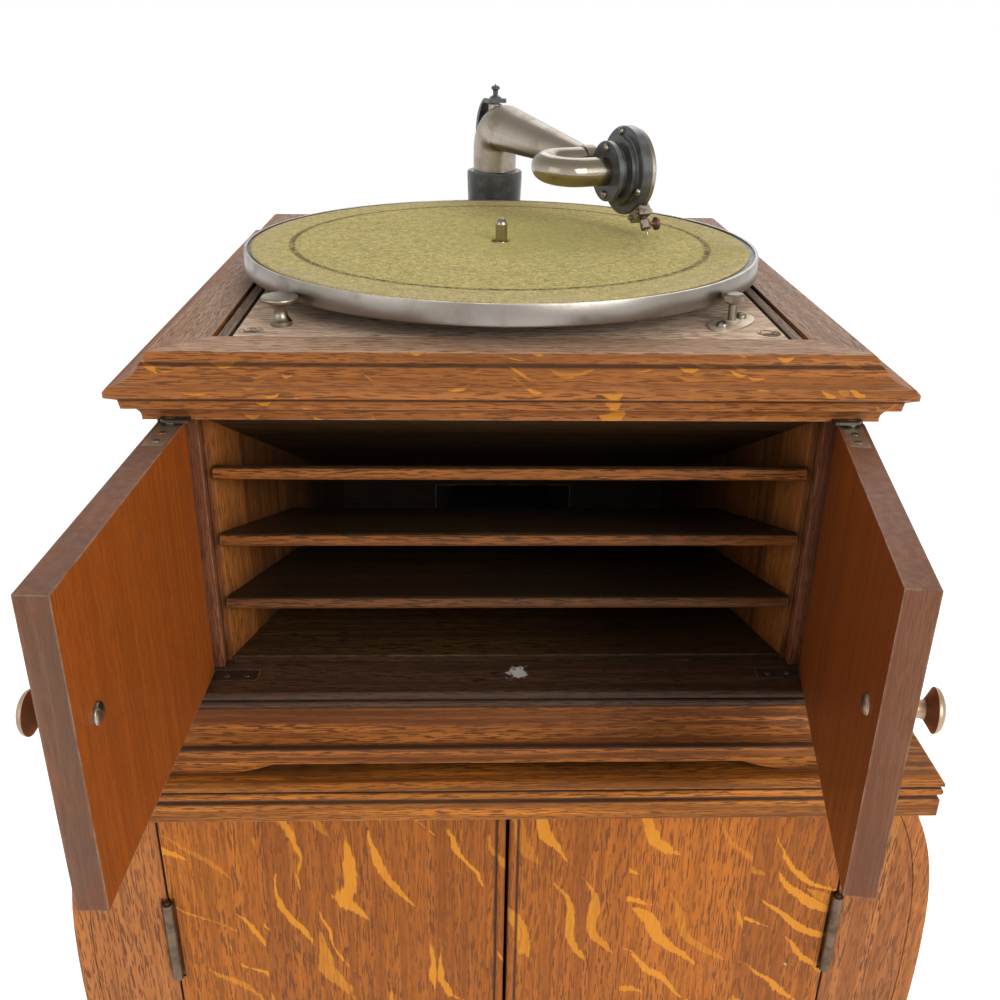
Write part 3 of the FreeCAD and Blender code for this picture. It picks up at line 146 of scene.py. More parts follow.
class Graph:
    """A node tree that is being wired, with short calls for the common nodes."""

    def __init__(self, tree: Tree) -> None:
        """Keep the tree to wire."""
        self.tree = tree

    def node(self, kind: str, **settings: object) -> Node:
        """Add a shader node.

        Args:
            kind: The node's type name without its "ShaderNode" start.
            settings: Properties to set on the node.

        Returns:
            The new node.
        """
        made = self.tree.nodes.new("ShaderNode" + kind)
        for name, value in settings.items():
            setattr(made, name, value)
        return made

    def feed(self, target: bpy.types.NodeSocket, value: Value) -> None:
        """Link a wire to the target, or set a plain value on it.

        Args:
            target: The input socket.
            value: A wire, a number, a vector or a colour.
        """
        if isinstance(value, Wire):
            self.tree.links.new(value.socket, target)
        elif target.type == "RGBA":
            target.default_value = (*value, 1.0)
        else:
            target.default_value = value

    def put(self, node: Node, *values: Value, **named: Value) -> Node:
        """Feed a node's inputs.

        Args:
            node: The node.
            values: Its first inputs, in their order.
            named: Inputs by name, with "_" for a space.

        Returns:
            The node.
        """
        for socket, value in zip(node.inputs, values):
            self.feed(socket, value)
        for name, value in named.items():
            self.feed(node.inputs[name.replace("_", " ")], value)
        return node

    def out(self, node: Node, name: Union[str, int] = 0) -> Wire:
        """One output of a node."""
        return Wire(self, node.outputs[name])

    def place(self) -> Wire:
        """The point in the object's own coordinates."""
        return self.out(self.node("TexCoord"), "Object")

    def normal(self) -> Wire:
        """The normal in the object's own coordinates."""
        return self.out(self.node("TexCoord"), "Normal")

    def math(self, operation: str, a: Value, b: Value = 0.0) -> Wire:
        """Result of a Math node."""
        return self.out(self.put(self.node("Math", operation=operation), a, b))

    def vector(self, operation: str, *values: Value) -> Wire:
        """Vector of a Vector Math node, or its value for a dot or a length."""
        made = self.put(self.node("VectorMath", operation=operation), *values)
        return self.out(made, "Value" if operation in ("DOT_PRODUCT", "LENGTH") else "Vector")

    def split(self, vector: Value) -> Tuple[Wire, Wire, Wire]:
        """Split a vector into its three values."""
        made = self.put(self.node("SeparateXYZ"), vector)
        return self.out(made, 0), self.out(made, 1), self.out(made, 2)

    def join(self, x: Value, y: Value, z: Value) -> Wire:
        """Join three values into a vector."""
        return self.out(self.put(self.node("CombineXYZ"), x, y, z))

    def noise(self, vector: Value, scale: Value, detail: float = 2.0, rough: float = 0.5) -> Wire:
        """Add a Noise texture.

        Args:
            vector: Where the noise is read.
            scale: Waves per metre, or one vector of them to stretch the noise.
            detail: Number of finer layers.
            rough: Strength of the finer layers.

        Returns:
            The noise from 0 to 1.
        """
        if isinstance(scale, tuple):
            vector, scale = self.vector("MULTIPLY", vector, scale), 1.0
        made = self.put(self.node("TexNoise"), Vector=vector, Scale=scale, Detail=detail, Roughness=rough)
        return self.out(made)

    def ramp(self, value: Value, low: Value, high: Value, start: Value = 0.0, end: Value = 1.0) -> Wire:
        """Map a value smoothly from low..high to start..end."""
        made = self.node("MapRange", interpolation_type="SMOOTHSTEP")
        return self.out(self.put(made, value, low, high, start, end))

    def mix(self, share: Value, a: Value, b: Value) -> Wire:
        """Mix two colours.

        Args:
            share: Share of the second.
            a: The first.
            b: The second.

        Returns:
            The mixed colour.
        """
        made = self.node("Mix", data_type="RGBA")
        for number, value in ((0, share), (6, a), (7, b)):
            self.feed(made.inputs[number], value)
        return self.out(made, 2)

    def layers(self, colour: Value, *layers: Tuple[Value, Colour]) -> Value:
        """Lay colours over one another.

        Args:
            colour: The first.
            layers: Mask and colour of each of the others.

        Returns:
            The colour on top.
        """
        for mask, tone in layers:
            colour = self.mix(mask, colour, tone)
        return colour

    def use(self, group: Tree, **values: Value) -> Dict[str, Wire]:
        """Place a node group with inputs by name, and return its outputs by name."""
        made = self.put(self.node("Group", node_tree=group), **values)
        return {socket.name: Wire(self, socket) for socket in made.outputs}


def shared_group(
    name: str, inputs: Dict[str, float], outputs: Sequence[str] = ("Mask",)
) -> Tuple[Graph, Dict[str, Wire], Node]:
    """Start a shader node group that reads a point, named Vector.

    Args:
        name: The group's name.
        inputs: Defaults of its other inputs by label.
        outputs: Labels of the outputs, which are all plain values.

    Returns:
        The graph to wire, the inputs by label, and the output node.
    """
    tree = bpy.data.node_groups.new(name, "ShaderNodeTree")
    tree.interface.new_socket("Vector", in_out="INPUT", socket_type="NodeSocketVector")
    for label, default in inputs.items():
        socket = tree.interface.new_socket(label, in_out="INPUT", socket_type="NodeSocketFloat")
        socket.default_value = default
    for label in outputs:
        tree.interface.new_socket(label, in_out="OUTPUT", socket_type="NodeSocketFloat")
    start = tree.nodes.new("NodeGroupInput")
    g = Graph(tree)
    return g, {label: g.out(start, label) for label in ("Vector", *inputs)}, tree.nodes.new("NodeGroupOutput")


class Effects:
    """Shader node groups that several finishes share."""

    def __init__(self) -> None:
        """Build each group once."""
        self.oak = self.oak_figure()
        self.wear = self.edge_wear()
        self.grime_and_shade = self.crevice_grime_and_shade()
        self.patina = self.metal_patina()
        self.specks = self.paint_specks()

    @staticmethod
    def oak_figure() -> Tree:
        """Quarter-sawn oak: boards, streaks, pores and ray flecks.

        Returns:
            A group that reads points as (across, through, along the grain), in metres.
        """
        g, given, end = shared_group(
            "oak_figure", dict.fromkeys(FIGURE, 0.0), ("Tone", "Streak", "Pores", "Fleck", "Height"))
        x, y, z = g.split(given["Vector"])
        number = g.math("FLOOR", x / given["Board Width"])
        chance = g.node("TexWhiteNoise", noise_dimensions="2D")
        g.put(chance, Vector=g.join(number, given["Seed"], 0.0))
        hue, turn, _ = g.split(g.out(chance, "Color"))
        moved = z + hue * BOARD_SHIFT
        place = g.join(x, y, moved)
        bend = g.noise(place, BEND_WAVES, 1.0) - 0.5
        bent = g.join(bend * BEND_DEPTH + x, y, moved)
        streak = g.noise(bent, STREAK_WAVES, 3.0, 0.55)
        dashes = g.noise(bent, PORE_WAVES, 2.0, 0.45)
        pores = g.ramp(dashes, 0.51, 0.585) * g.ramp(streak, 0.34, 0.62, 0.45, 1.0)
        angle = given["Fleck Lean"] + (turn - 0.5) * given["Fleck Swing"]
        fleck = Effects.fleck_mask(g, given, (x, y, moved), place, angle)
        pores = pores * (1.0 - fleck * FLECK_COVER)
        tone = hue * 0.4 + g.noise(bent, BROAD_WAVES, 2.0) * 0.6
        g.put(end, Tone=tone, Streak=streak, Pores=pores, Fleck=fleck, Height=streak * 0.3 - pores)
        return g.tree

    @staticmethod
    def fleck_mask(
        g: Graph, given: Dict[str, Wire], axes: Tuple[Wire, Wire, Wire], place: Wire, angle: Wire
    ) -> Wire:
        """Bowed, tapered ray flecks, one to a cell of a leaning grid.

        Args:
            g: The graph of the oak's group.
            given: The group's inputs.
            axes: Point as (across, through, along the grain).
            place: The same point as a vector.
            angle: Lean of the flecks from the grain, in radians.

        Returns:
            The mask, weaker on some flecks.
        """
        x, y, z = axes
        sway = g.noise(place, 17.0, 2.0, 0.4) - 0.5
        lift = g.noise(g.vector("ADD", place, FAR_AWAY), 12.0, 2.0, 0.4) - 0.5
        wide = x + y * 0.6 + sway * 0.05
        tall = z + lift * 0.07
        cosine, sine = g.math("COSINE", angle), g.math("SINE", angle)
        u = (wide * cosine + tall * sine) / (given["Fleck Width"] * 2.4)
        v = (tall * cosine - wide * sine) / (given["Fleck Length"] * 1.15)
        cells = g.node("TexVoronoi", voronoi_dimensions="2D", feature="F1")
        g.put(cells, Vector=g.join(u, v, 0.0), Scale=1.0)
        middle_u, middle_v, _ = g.split(g.out(cells, "Position"))
        red, green, blue = g.split(g.out(cells, "Color"))
        dv = v - middle_v
        square = dv * dv
        half = (1.0 - square * 5.3) * (green * 0.19 + 0.05)
        off = abs(u - middle_u - square * given["Fleck Bow"])
        ragged = (g.noise(place, FLECK_RIM_WAVES, 2.0) - 0.5) * 0.22
        inside = g.ramp(half - off + ragged, -0.012, 0.04)
        return inside * (red < given["Fleck Share"]) * g.ramp(blue, 0.0, 0.6, 0.45, 1.0)

    @staticmethod
    def edge_wear() -> Tree:
        """Mask of rubbed edges, broken up by noise.

        Returns:
            The group.
        """
        g, given, end = shared_group("edge_wear", {"Radius": 0.0015})
        rounded = g.put(g.node("Bevel", samples=4), Radius=given["Radius"])
        flat = g.out(g.node("NewGeometry"), "Normal")
        turn = 1.0 - g.vector("DOT_PRODUCT", g.out(rounded), flat)
        broken = g.noise(given["Vector"], 85.0, 3.0, 0.6)
        g.put(end, Mask=g.ramp(turn, 0.02, 0.22) * g.ramp(broken, 0.36, 0.6))
        return g.tree

    @staticmethod
    def crevice_grime_and_shade() -> Tree:
        """Mask of corners where deposits gather and shade falls: painted shade from ambient occlusion, broken
        up by noise.

        Returns:
            The group.
        """
        g, given, end = shared_group("crevice_grime_and_shade", {"Reach": 0.012})
        hidden = g.put(g.node("AmbientOcclusion", samples=4), Distance=given["Reach"])
        cloud = g.noise(given["Vector"], 40.0, 3.0, 0.6)
        dark = g.ramp(g.out(hidden, "AO"), 0.25, 0.85, 1.0, 0.0)
        g.put(end, Mask=dark * g.ramp(cloud, 0.25, 0.65, 0.45, 1.0))
        return g.tree

    @staticmethod
    def metal_patina() -> Tree:
        """Tarnish clouds, small pits and fine scratches of old plated metal.

        Returns:
            The group.
        """
        g, given, end = shared_group("metal_patina", {"Scale": 1.0}, ("Tarnish", "Pits", "Scratch"))
        scale = given["Scale"]
        place = g.vector("MULTIPLY", given["Vector"], g.join(scale, scale, scale))
        g.put(end, Tarnish=g.ramp(g.noise(place, 55.0, 4.0, 0.62), 0.42, 0.72),
              Pits=g.ramp(g.noise(place, 900.0, 2.0), 0.66, 0.74), Scratch=g.noise(place, SCRATCH_WAVES, 2.0))
        return g.tree

    @staticmethod
    def paint_specks() -> Tree:
        """Tiny pale chips and dust, sparse and sharp.

        Returns:
            The group.
        """
        g, given, end = shared_group("paint_specks", {"Size": 0.004, "Share": 0.1})
        cells = g.node("TexVoronoi", feature="F1")
        g.put(cells, Vector=given["Vector"], Scale=1.0 / (given["Size"] * 6.0))
        red, green, _ = g.split(g.out(cells, "Color"))
        reach = g.out(cells, "Distance") + g.noise(given["Vector"], 700.0, 2.0) * 0.14
        g.put(end, Mask=(red < given["Share"]) * (reach < green * 0.16 + 0.05))
        return g.tree


def new_material(name: str) -> Tuple[Material, Graph, Node]:
    """Start a node material.

    Args:
        name: The material's name.

    Returns:
        The material, its graph and its Principled shader.
    """
    made = bpy.data.materials.new(name)
    made.use_nodes = True
    return made, Graph(made.node_tree), made.node_tree.nodes["Principled BSDF"]


def bump(g: Graph, shader: Node, height: Wire, strength: float, depth: float) -> None:
    """Feed a height into the shader's normal, with the depth of a full step in metres."""
    made = g.put(g.node("Bump"), Strength=strength, Distance=depth, Height=height)
    g.put(shader, Normal=g.out(made, "Normal"))


class Grain(Enum):
    """Which axis the grain follows, as the order of coordinates (across, through, along)."""

    WIDTH = (2, 1, 0)
    DEPTH = (2, 0, 1)
    HEIGHT = (0, 1, 2)
    SIDE_HEIGHT = (1, 0, 2)


class FaceSide(Enum):
    """Which faces a second colour covers, seen from a direction."""

    TOWARDS = 0
    BESIDE = 1


@dataclass(frozen=True)
class FaceTint:
    """A second colour on the faces that look towards a direction, or beside it."""

    direction: Place
    side: FaceSide
    colour: Colour
    share: float
    rough: float
    floor: float = -1.0
    fade: float = 0.001
    turn: Tuple[float, float] = (0.80, 0.97)
    beside_turn: Tuple[float, float] = (0.45, 0.75)

    def mask(self, g: Graph) -> Wire:
        """Find the tinted faces above the floor height.

        Args:
            g: The material's graph.

        Returns:
            The mask, from the object's own normals.
        """
        facing = g.vector("DOT_PRODUCT", g.normal(), self.direction)
        if self.side is FaceSide.TOWARDS:
            found = g.ramp(facing, *self.turn)
        else:
            found = g.ramp(abs(facing), *self.beside_turn, 1.0, 0.0)
        return found * g.ramp(g.split(g.place())[UP], self.floor - self.fade, self.floor, 0.0, self.share)


@dataclass(frozen=True)
class PaintSpot:
    """A splash of pale paint at a place."""

    place: Place
    radius: float

    def mask(self, g: Graph) -> Wire:
        """Find the splash.

        Args:
            g: The material's graph.

        Returns:
            The mask, with a ragged rim.
        """
        place = g.place()
        away = g.vector("LENGTH", g.vector("SUBTRACT", place, self.place))
        edge = away + (g.noise(place, 260.0, 3.0, 0.7) - 0.5) * (self.radius * 2.6)
        return g.ramp(edge, self.radius * 0.55, self.radius * 0.9, 1.0, 0.0)


@dataclass(frozen=True)
class OakFinish:
    """Stained and shellacked oak, with no ray flecks where their share is nothing."""

    name: str
    dark: Colour
    light: Colour
    fleck: Colour = (0.78, 0.30, 0.022)
    fleck_strength: float = 0.8
    fleck_share: float = 0.0
    fleck_length: float = 0.062
    fleck_width: float = 0.0085
    fleck_lean: float = 0.55
    fleck_swing: float = 1.0
    fleck_bow: float = 1.1
    upright_flecks: bool = False
    board_width: float = 0.07
    pore: Colour = (0.10, 0.032, 0.009)
    pore_share: float = 0.8
    rough: float = 0.48
    rough_swing: float = 0.05
    wear_rough: float = 0.15
    coat: float = 0.03
    coat_rough: float = 0.28
    shine: float = 0.16
    relief: float = 0.45
    relief_depth: float = 0.0004
    wear: Colour = (0.40, 0.27, 0.18)
    wear_share: float = 0.55
    # Share and reach of deposits and painted shade from ambient occlusion.
    grime_and_shade_share: float = 0.65
    grime_and_shade_reach: float = 0.012
    # Span along the depth over which painted shade darkens the wood towards the back, and its share.
    back_shade: Optional[Tuple[float, float]] = None
    back_shade_share: float = 0.94
    quirks: Tuple[Tuple[int, float], ...] = ()
    quirk_half: float = 0.0013
    quirk_share: float = 0.8
    speck_share: float = 0.06
    speck_cover: float = 0.7
    seed: float = 0.0
    tint: Optional[FaceTint] = None
    tint_shade: float = 0.72
    spots: Tuple[PaintSpot, ...] = ()

    def material(self, effects: Effects, grain: Grain) -> Material:
        """Make the finish for one grain direction.

        Args:
            effects: The shared node groups.
            grain: The axis that the grain follows.

        Returns:
            The material.
        """
        made, g, shader = new_material(f"{self.name}_{grain.name.lower()}")
        place = g.place()
        axes = g.split(place)
        figure = {label: getattr(self, label.lower().replace(" ", "_")) for label in FIGURE}
        oak = g.use(effects.oak, Vector=g.join(*[axes[i] for i in grain.value]), **figure)
        streak = oak["Streak"]
        colour = g.mix(g.ramp(streak * 0.7 + oak["Tone"] * 0.5, 0.36, 0.82), self.dark, self.light)
        rough = g.ramp(streak, *STREAK_RANGE, self.rough + self.rough_swing, self.rough - self.rough_swing)
        strength: Value = self.fleck_strength
        if self.tint:
            covered = self.tint.mask(g)
            cloud = g.ramp(g.noise(place, 22.0, 4.0, 0.65), 0.2, 0.62, 0.55, 1.0)
            shaded = tuple(c * self.tint_shade for c in self.tint.colour)
            tinted = g.mix(g.ramp(streak, *STREAK_RANGE), shaded, self.tint.colour)
            colour = g.mix(covered * cloud, colour, tinted)
            rough = covered * (self.tint.rough - self.rough) + rough
            strength = (1.0 - covered * FLECK_COVER) * self.fleck_strength
        flecks = oak["Fleck"] * strength
        if self.upright_flecks:
            flecks = flecks * g.ramp(abs(g.split(g.normal())[UP]), 0.75, 0.95, 1.0, 0.0)
        worn = g.use(effects.wear, Vector=place)["Mask"]
        # Deposits and painted shade: darker where ambient occlusion finds surfaces close by.
        dirt_and_shade = g.use(effects.grime_and_shade, Vector=place, Reach=self.grime_and_shade_reach)["Mask"]
        specks = g.use(effects.specks, Vector=place, Share=self.speck_share)["Mask"]
        colour = g.layers(
            colour, (flecks, self.fleck), (oak["Pores"] * self.pore_share, self.pore),
            (worn * self.wear_share, self.wear), (dirt_and_shade * self.grime_and_shade_share, GRIME_AND_SHADE),
            *[(self.quirk(g, axes[axis], level), GRIME_AND_SHADE) for axis, level in self.quirks],
            (specks * self.speck_cover, CHIP))
        # Painted shade: darker towards the back, along the object's depth.
        if self.back_shade:
            colour = g.mix(g.ramp(axes[INWARD], *self.back_shade, 0.0, self.back_shade_share), colour, PAINTED_SHADE_BLACK)
        colour = g.layers(colour, *[(spot.mask(g), PAINT) for spot in self.spots])
        g.put(shader, Base_Color=colour, Roughness=rough + worn * self.wear_rough, Coat_Weight=self.coat,
              Coat_Roughness=self.coat_rough, Specular_IOR_Level=self.shine)
        bump(g, shader, oak["Height"], self.relief, self.relief_depth)
        return made

    def quirk(self, g: Graph, along: Wire, level: float) -> Wire:
        """Mask of a dark line of painted shade, in the deposits' colour, that follows a moulding at a level,
        on both sides of the middle.
        """
        return g.ramp(abs(abs(along) - level), self.quirk_half * 0.3, self.quirk_half, self.quirk_share, 0.0)


@dataclass(frozen=True)
class MetalFinish:
    """Bare or plated metal with age on it."""

    name: str
    colour: Colour
    tarnish: Colour
    tarnish_share: float
    rough: float
    rough_tarnish: float
    rough_scratch: float = 0.08
    scale: float = 1.0
    pits: Colour = (0.10, 0.075, 0.05)
    pit_share: float = 0.5
    # Share and reach of deposits and painted shade from ambient occlusion, in the pits' colour.
    dirt_and_shade_share: float = 0.6
    dirt_and_shade_reach: float = 0.004
    relief: float = 0.12
    relief_depth: float = 0.0002
    # Share of dust and of a painted dark reflection on the upward faces.
    top_dust_and_reflection: float = 0.0

    def material(self, effects: Effects) -> Material:
        """Make the finish from the shared patina.

        Args:
            effects: The shared node groups.

        Returns:
            The material.
        """
        made, g, shader = new_material(self.name)
        place = g.place()
        age = g.use(effects.patina, Vector=place, Scale=self.scale)
        # Deposits and painted shade where ambient occlusion finds surfaces close by.
        dirt_and_shade = g.use(effects.grime_and_shade, Vector=place, Reach=self.dirt_and_shade_reach)["Mask"]
        colour = g.mix(age["Tarnish"] * self.tarnish_share, self.colour, self.tarnish)
        # Dust and a painted dark reflection on the upward faces.
        if self.top_dust_and_reflection > 0.0:
            dust_and_dark_reflection = g.ramp(g.split(g.normal())[UP], -0.1, 0.7, 0.0, self.top_dust_and_reflection)
            colour = g.mix(dust_and_dark_reflection, colour, self.tarnish)
        colour = g.layers(
            colour, (age["Pits"] * self.pit_share, self.pits), (dirt_and_shade * self.dirt_and_shade_share, self.pits))
        rough = g.ramp(age["Tarnish"], 0.0, 1.0, self.rough, self.rough_tarnish)
        g.put(shader, Base_Color=colour, Roughness=rough + age["Scratch"] * self.rough_scratch, Metallic=1.0)
        bump(g, shader, age["Scratch"], self.relief, self.relief_depth)
        return made


@dataclass(frozen=True)
class JapanFinish:
    """Black stove enamel on iron or hard rubber, dusty, with bright rubbed edges."""

    name: str
    colour: Colour = (0.022, 0.023, 0.024)
    dust: Colour = (0.16, 0.155, 0.14)
    dust_share: float = 0.3
    rub: Colour = (0.28, 0.26, 0.22)
    rub_share: float = 0.35
    rub_radius: float = 0.0008
    rough: float = 0.38
    rough_dust: float = 0.2
    shine: float = 0.55

    def material(self, effects: Effects) -> Material:
        """Make the finish with dust clouds and rubbed edges.

        Args:
            effects: The shared node groups.

        Returns:
            The material.
        """
        made, g, shader = new_material(self.name)
        place = g.place()
        cloud = g.ramp(g.noise(place, 120.0, 4.0, 0.65), 0.4, 0.75)
        worn = g.use(effects.wear, Vector=place, Radius=self.rub_radius)["Mask"]
        colour = g.layers(
            self.colour, (cloud * self.dust_share, self.dust), (worn * self.rub_share, self.rub))
        rough = g.ramp(cloud, 0.0, 1.0, self.rough, self.rough + self.rough_dust)
        g.put(shader, Base_Color=colour, Roughness=rough, Specular_IOR_Level=self.shine)
        bump(g, shader, g.noise(place, 1400.0, 2.0), 0.08, 0.0002)
        return made


@dataclass(frozen=True)
class FeltFinish:
    """Worn olive felt with the rings that records have rubbed into it."""

    name: str
    centre: Place
    radius: float
    pale: Colour = (0.72, 0.57, 0.20)
    deep: Colour = (0.36, 0.29, 0.08)
    tips: Colour = (0.86, 0.74, 0.36)
    green: Colour = (0.50, 0.45, 0.11)
    green_place: Place = (0.022, 0.018, 0.0)
    dust: Colour = (0.58, 0.47, 0.28)
    scar: Colour = (0.10, 0.065, 0.025)
    ring_share: float = 0.837
    inner_ring_share: float = 0.575
    wobble: float = 0.03

    def material(self, effects: Effects) -> Material:
        """Make the felt, with its rings about the spindle.

        Args:
            effects: The shared node groups.

        Returns:
            The material.
        """
        made, g, shader = new_material(self.name)
        place = g.vector("SUBTRACT", g.place(), self.centre)
        x, y, _ = g.split(place)
        flat = g.join(x, y, 0.0)
        out = g.vector("LENGTH", flat) / self.radius
        fibre = g.noise(place, 1100.0, 3.0, 0.75)
        tuft = g.noise(place, 330.0, 4.0, 0.72)
        cloud = g.noise(place, 26.0, 4.0, 0.6)
        off_centre = g.vector("LENGTH", g.vector("SUBTRACT", flat, self.green_place))
        ring = self.ring(g, out, tuft, self.ring_share, 0.018, 0.42, 0.58)
        faint = self.ring(g, out, tuft, self.inner_ring_share, 0.014, 0.5, 0.7)
        smudge = g.ramp(g.noise(place, 19.0, 4.0, 0.7), 0.60, 0.72) * g.ramp(fibre, 0.4, 0.7)
        colour = g.layers(
            g.mix(g.ramp(tuft, 0.3, 0.7), self.deep, self.pale),
            (g.ramp(fibre, 0.45, 0.75, 0.0, 0.5), self.tips),
            (g.ramp(off_centre + cloud * 0.05, 0.03, 0.125, 0.62, 0.0), self.green),
            (g.ramp(out, 0.78, 1.0) * g.ramp(cloud, 0.3, 0.7, 0.1, 0.6), self.dust),
            (g.ramp(g.noise(place, BALD_WAVES, 3.0), 0.60, 0.72, 0.0, 0.35), self.deep),
            (g.ramp(fibre, 0.3, 0.5, 0.8, 0.0), tuple(c * 0.45 for c in self.deep)),
            (ring * 0.92, self.scar), (faint * 0.35, self.scar), (smudge * 0.45, self.scar))
        g.put(shader, Base_Color=colour, Roughness=0.95, Specular_IOR_Level=0.1, Sheen_Weight=0.06,
              Sheen_Roughness=0.6)
        bump(g, shader, fibre * 0.6 + tuft - ring * 0.8, 0.9, 0.0007)
        return made

    def ring(self, g: Graph, out: Wire, tuft: Wire, at: float, width: float, low: float, high: float) -> Wire:
        """Mask of one broken ring.

        Args:
            g: The graph.
            out: Distance from the spindle as a share of the radius.
            tuft: Noise that breaks the ring.
            at: The ring's share of the radius.
            width: Its width as a share of the radius.
            low: Noise at which the ring is gone.
            high: Noise at which it is whole.

        Returns:
            The mask.
        """
        off = abs(out + (tuft - 0.5) * self.wobble - at)
        return g.ramp(off, width * 0.3, width, 1.0, 0.0) * g.ramp(tuft, low, high, 0.25, 1.0)


@dataclass(frozen=True)
class MicaFinish:
    """Pale, layered stuff: the sound box's mica disc, or lint."""

    name: str = "mica"
    deep: Colour = (0.42, 0.36, 0.26)
    pale: Colour = (0.74, 0.68, 0.54)
    coat: float = 0.4

    def material(self, effects: Effects) -> Material:
        """Make the finish from one noise of thin sheets.

        Args:
            effects: The shared node groups.

        Returns:
            The material.
        """
        made, g, shader = new_material(self.name)
        sheets = g.noise(g.place(), 300.0, 3.0, 0.6)
        g.put(shader, Base_Color=g.mix(sheets, self.deep, self.pale), Coat_Weight=self.coat,
              Roughness=g.ramp(sheets, 0.2, 0.8, 0.12, 0.3))
        bump(g, shader, sheets, 0.05, 0.0001)
        return made


Finish = Union[OakFinish, MetalFinish, JapanFinish, FeltFinish, MicaFinish]


@dataclass
class Workshop:
    """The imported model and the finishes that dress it."""

    frame: Dict[str, object]
    effects: Effects = field(default_factory=Effects)
    softener: Optional[Tree] = None
    made: Dict[str, Material] = field(default_factory=dict)
    weld: float = 1e-5
    bevel_deg: float = 32.0

    def finish(self, finish: Finish, grain: Optional[Grain] = None) -> Material:
        """Material of a finish, made once.

        Args:
            finish: The finish.
            grain: The grain's axis for oak.

        Returns:
            The material.
        """
        key = f"{finish.name}_{grain}"
        if key not in self.made:
            grains = [grain] if isinstance(finish, OakFinish) else []
            self.made[key] = finish.material(self.effects, *grains)
        return self.made[key]

    def node(self, name: str) -> bpy.types.Object:
        """The CAD node of that name."""
        return self.frame["nodes"][name]

    def joint(self, name: str) -> Dict[str, object]:
        """The record's joint of that name."""
        return next(j for j in self.frame["joints"] if j["name"] == name)

    def dress(self, name: str, finish: Finish, grain: Optional[Grain] = None, round_mm: float = 0.0) -> None:
        """Give a CAD node its finish.

        Args:
            name: The node.
            finish: Its finish.
            grain: The grain's axis for oak.
            round_mm: Rounding of its edges in millimetres, or 0 to leave them.
        """
        obj = self.node(name)
        obj.data.materials.clear()
        obj.data.materials.append(self.finish(finish, grain))
        if round_mm > 0.0:
            self.soften(obj, round_mm * MM)
        LOG.info("dressed %s in %s", name, finish.name)

    def dress_all(self, *rows: Tuple) -> None:
        """Dress CAD nodes from rows of a node, its finish and, for oak, grain and rounding."""
        for row in rows:
            self.dress(*row)

    def soften(self, obj: bpy.types.Object, width: float) -> None:
        """Round an object's sharp edges with modifiers.

        Args:
            obj: The object.
            width: Width of the rounding, in metres.
        """
        if self.softener is None:
            self.softener = weld_and_smooth(self.weld)
        obj.modifiers.new("weld", "NODES").node_group = self.softener
        rounding = obj.modifiers.new("rounding", "BEVEL")
        rounding.width = width
        rounding.segments = 2
        rounding.limit_method = "ANGLE"
        rounding.angle_limit = math.radians(self.bevel_deg)
        obj.modifiers.new("even", "WEIGHTED_NORMAL").weight = 80

    def add(self, name: str, bm: Shape, finish: Finish, body: str, slot: str,
            smooth_deg: float = 40.0) -> bpy.types.Object:
        """Add a modelled piece that rides on a body.

        Args:
            name: The piece's name.
            bm: Its shape in the row frame, which is freed.
            finish: Its finish.
            body: The CAD body that it rides on.
            slot: The record's material slot, which is not used.
            smooth_deg: Edges sharper than this stay sharp.

        Returns:
            The piece.
        """
        mesh = mesh_of(name, bm)
        mesh.materials.append(self.finish(finish))
        mesh.shade_smooth()
        mesh.set_sharp_from_angle(angle=math.radians(smooth_deg))
        piece = bpy.data.objects.new(name, mesh)
        bpy.context.scene.collection.objects.link(piece)
        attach(piece, body)
        LOG.info("added %s on %s", name, body)
        return piece

    def add_screws(self, name: str, screw: "SlottedScrew", stands: Iterable[Matrix], finish: Finish,
                   body: str, slot: str = "nickel") -> None:
        """Add a set of slotted screw heads as one piece.

        Args:
            name: The piece's name.
            screw: The head.
            stands: Where each head stands.
            finish: Their finish.
            body: The CAD body that they ride on.
            slot: The record's material slot.
        """
        bm = bmesh.new()
        for stand in stands:
            screw.build(bm, stand)
        self.add(name, bm, finish, body, slot)

    def islands(self, name: str) -> List[Box]:
        """Find the separate solids in a node.

        Args:
            name: The node.

        Returns:
            Their boxes as pairs of corners, the smallest first.
        """
        bm = bmesh.new()
        bm.from_mesh(self.node(name).data)
        bmesh.ops.remove_doubles(bm, verts=bm.verts, dist=self.weld)
        todo = dict.fromkeys(bm.verts)
        boxes = []
        while todo:
            stack = [next(iter(todo))]
            del todo[stack[0]]
            found = []
            while stack:
                vert = stack.pop()
                found.append(vert.co.copy())
                for edge in vert.link_edges:
                    other = edge.other_vert(vert)
                    if other in todo:
                        del todo[other]
                        stack.append(other)
            boxes.append((Vector(map(min, zip(*found))), Vector(map(max, zip(*found)))))
        bm.free()
        return sorted(boxes, key=lambda box: (box[1] - box[0]).length)


def weld_and_smooth(distance: float) -> Tree:
    """Geometry nodes that join split corners and shade faces smooth.

    Args:
        distance: How far apart joined corners may lie, in metres.

    Returns:
        The node tree for a modifier.
    """
    tree = bpy.data.node_groups.new("weld_and_smooth", "GeometryNodeTree")
    for way in ("INPUT", "OUTPUT"):
        tree.interface.new_socket("Geometry", in_out=way, socket_type="NodeSocketGeometry")
    kinds = ("NodeGroupInput", "GeometryNodeMergeByDistance", "GeometryNodeSetShadeSmooth", "NodeGroupOutput")
    nodes = [tree.nodes.new(kind) for kind in kinds]
    nodes[1].inputs["Distance"].default_value = distance
    for before, after in zip(nodes, nodes[1:]):
        tree.links.new(before.outputs[0], after.inputs[0])
    return tree


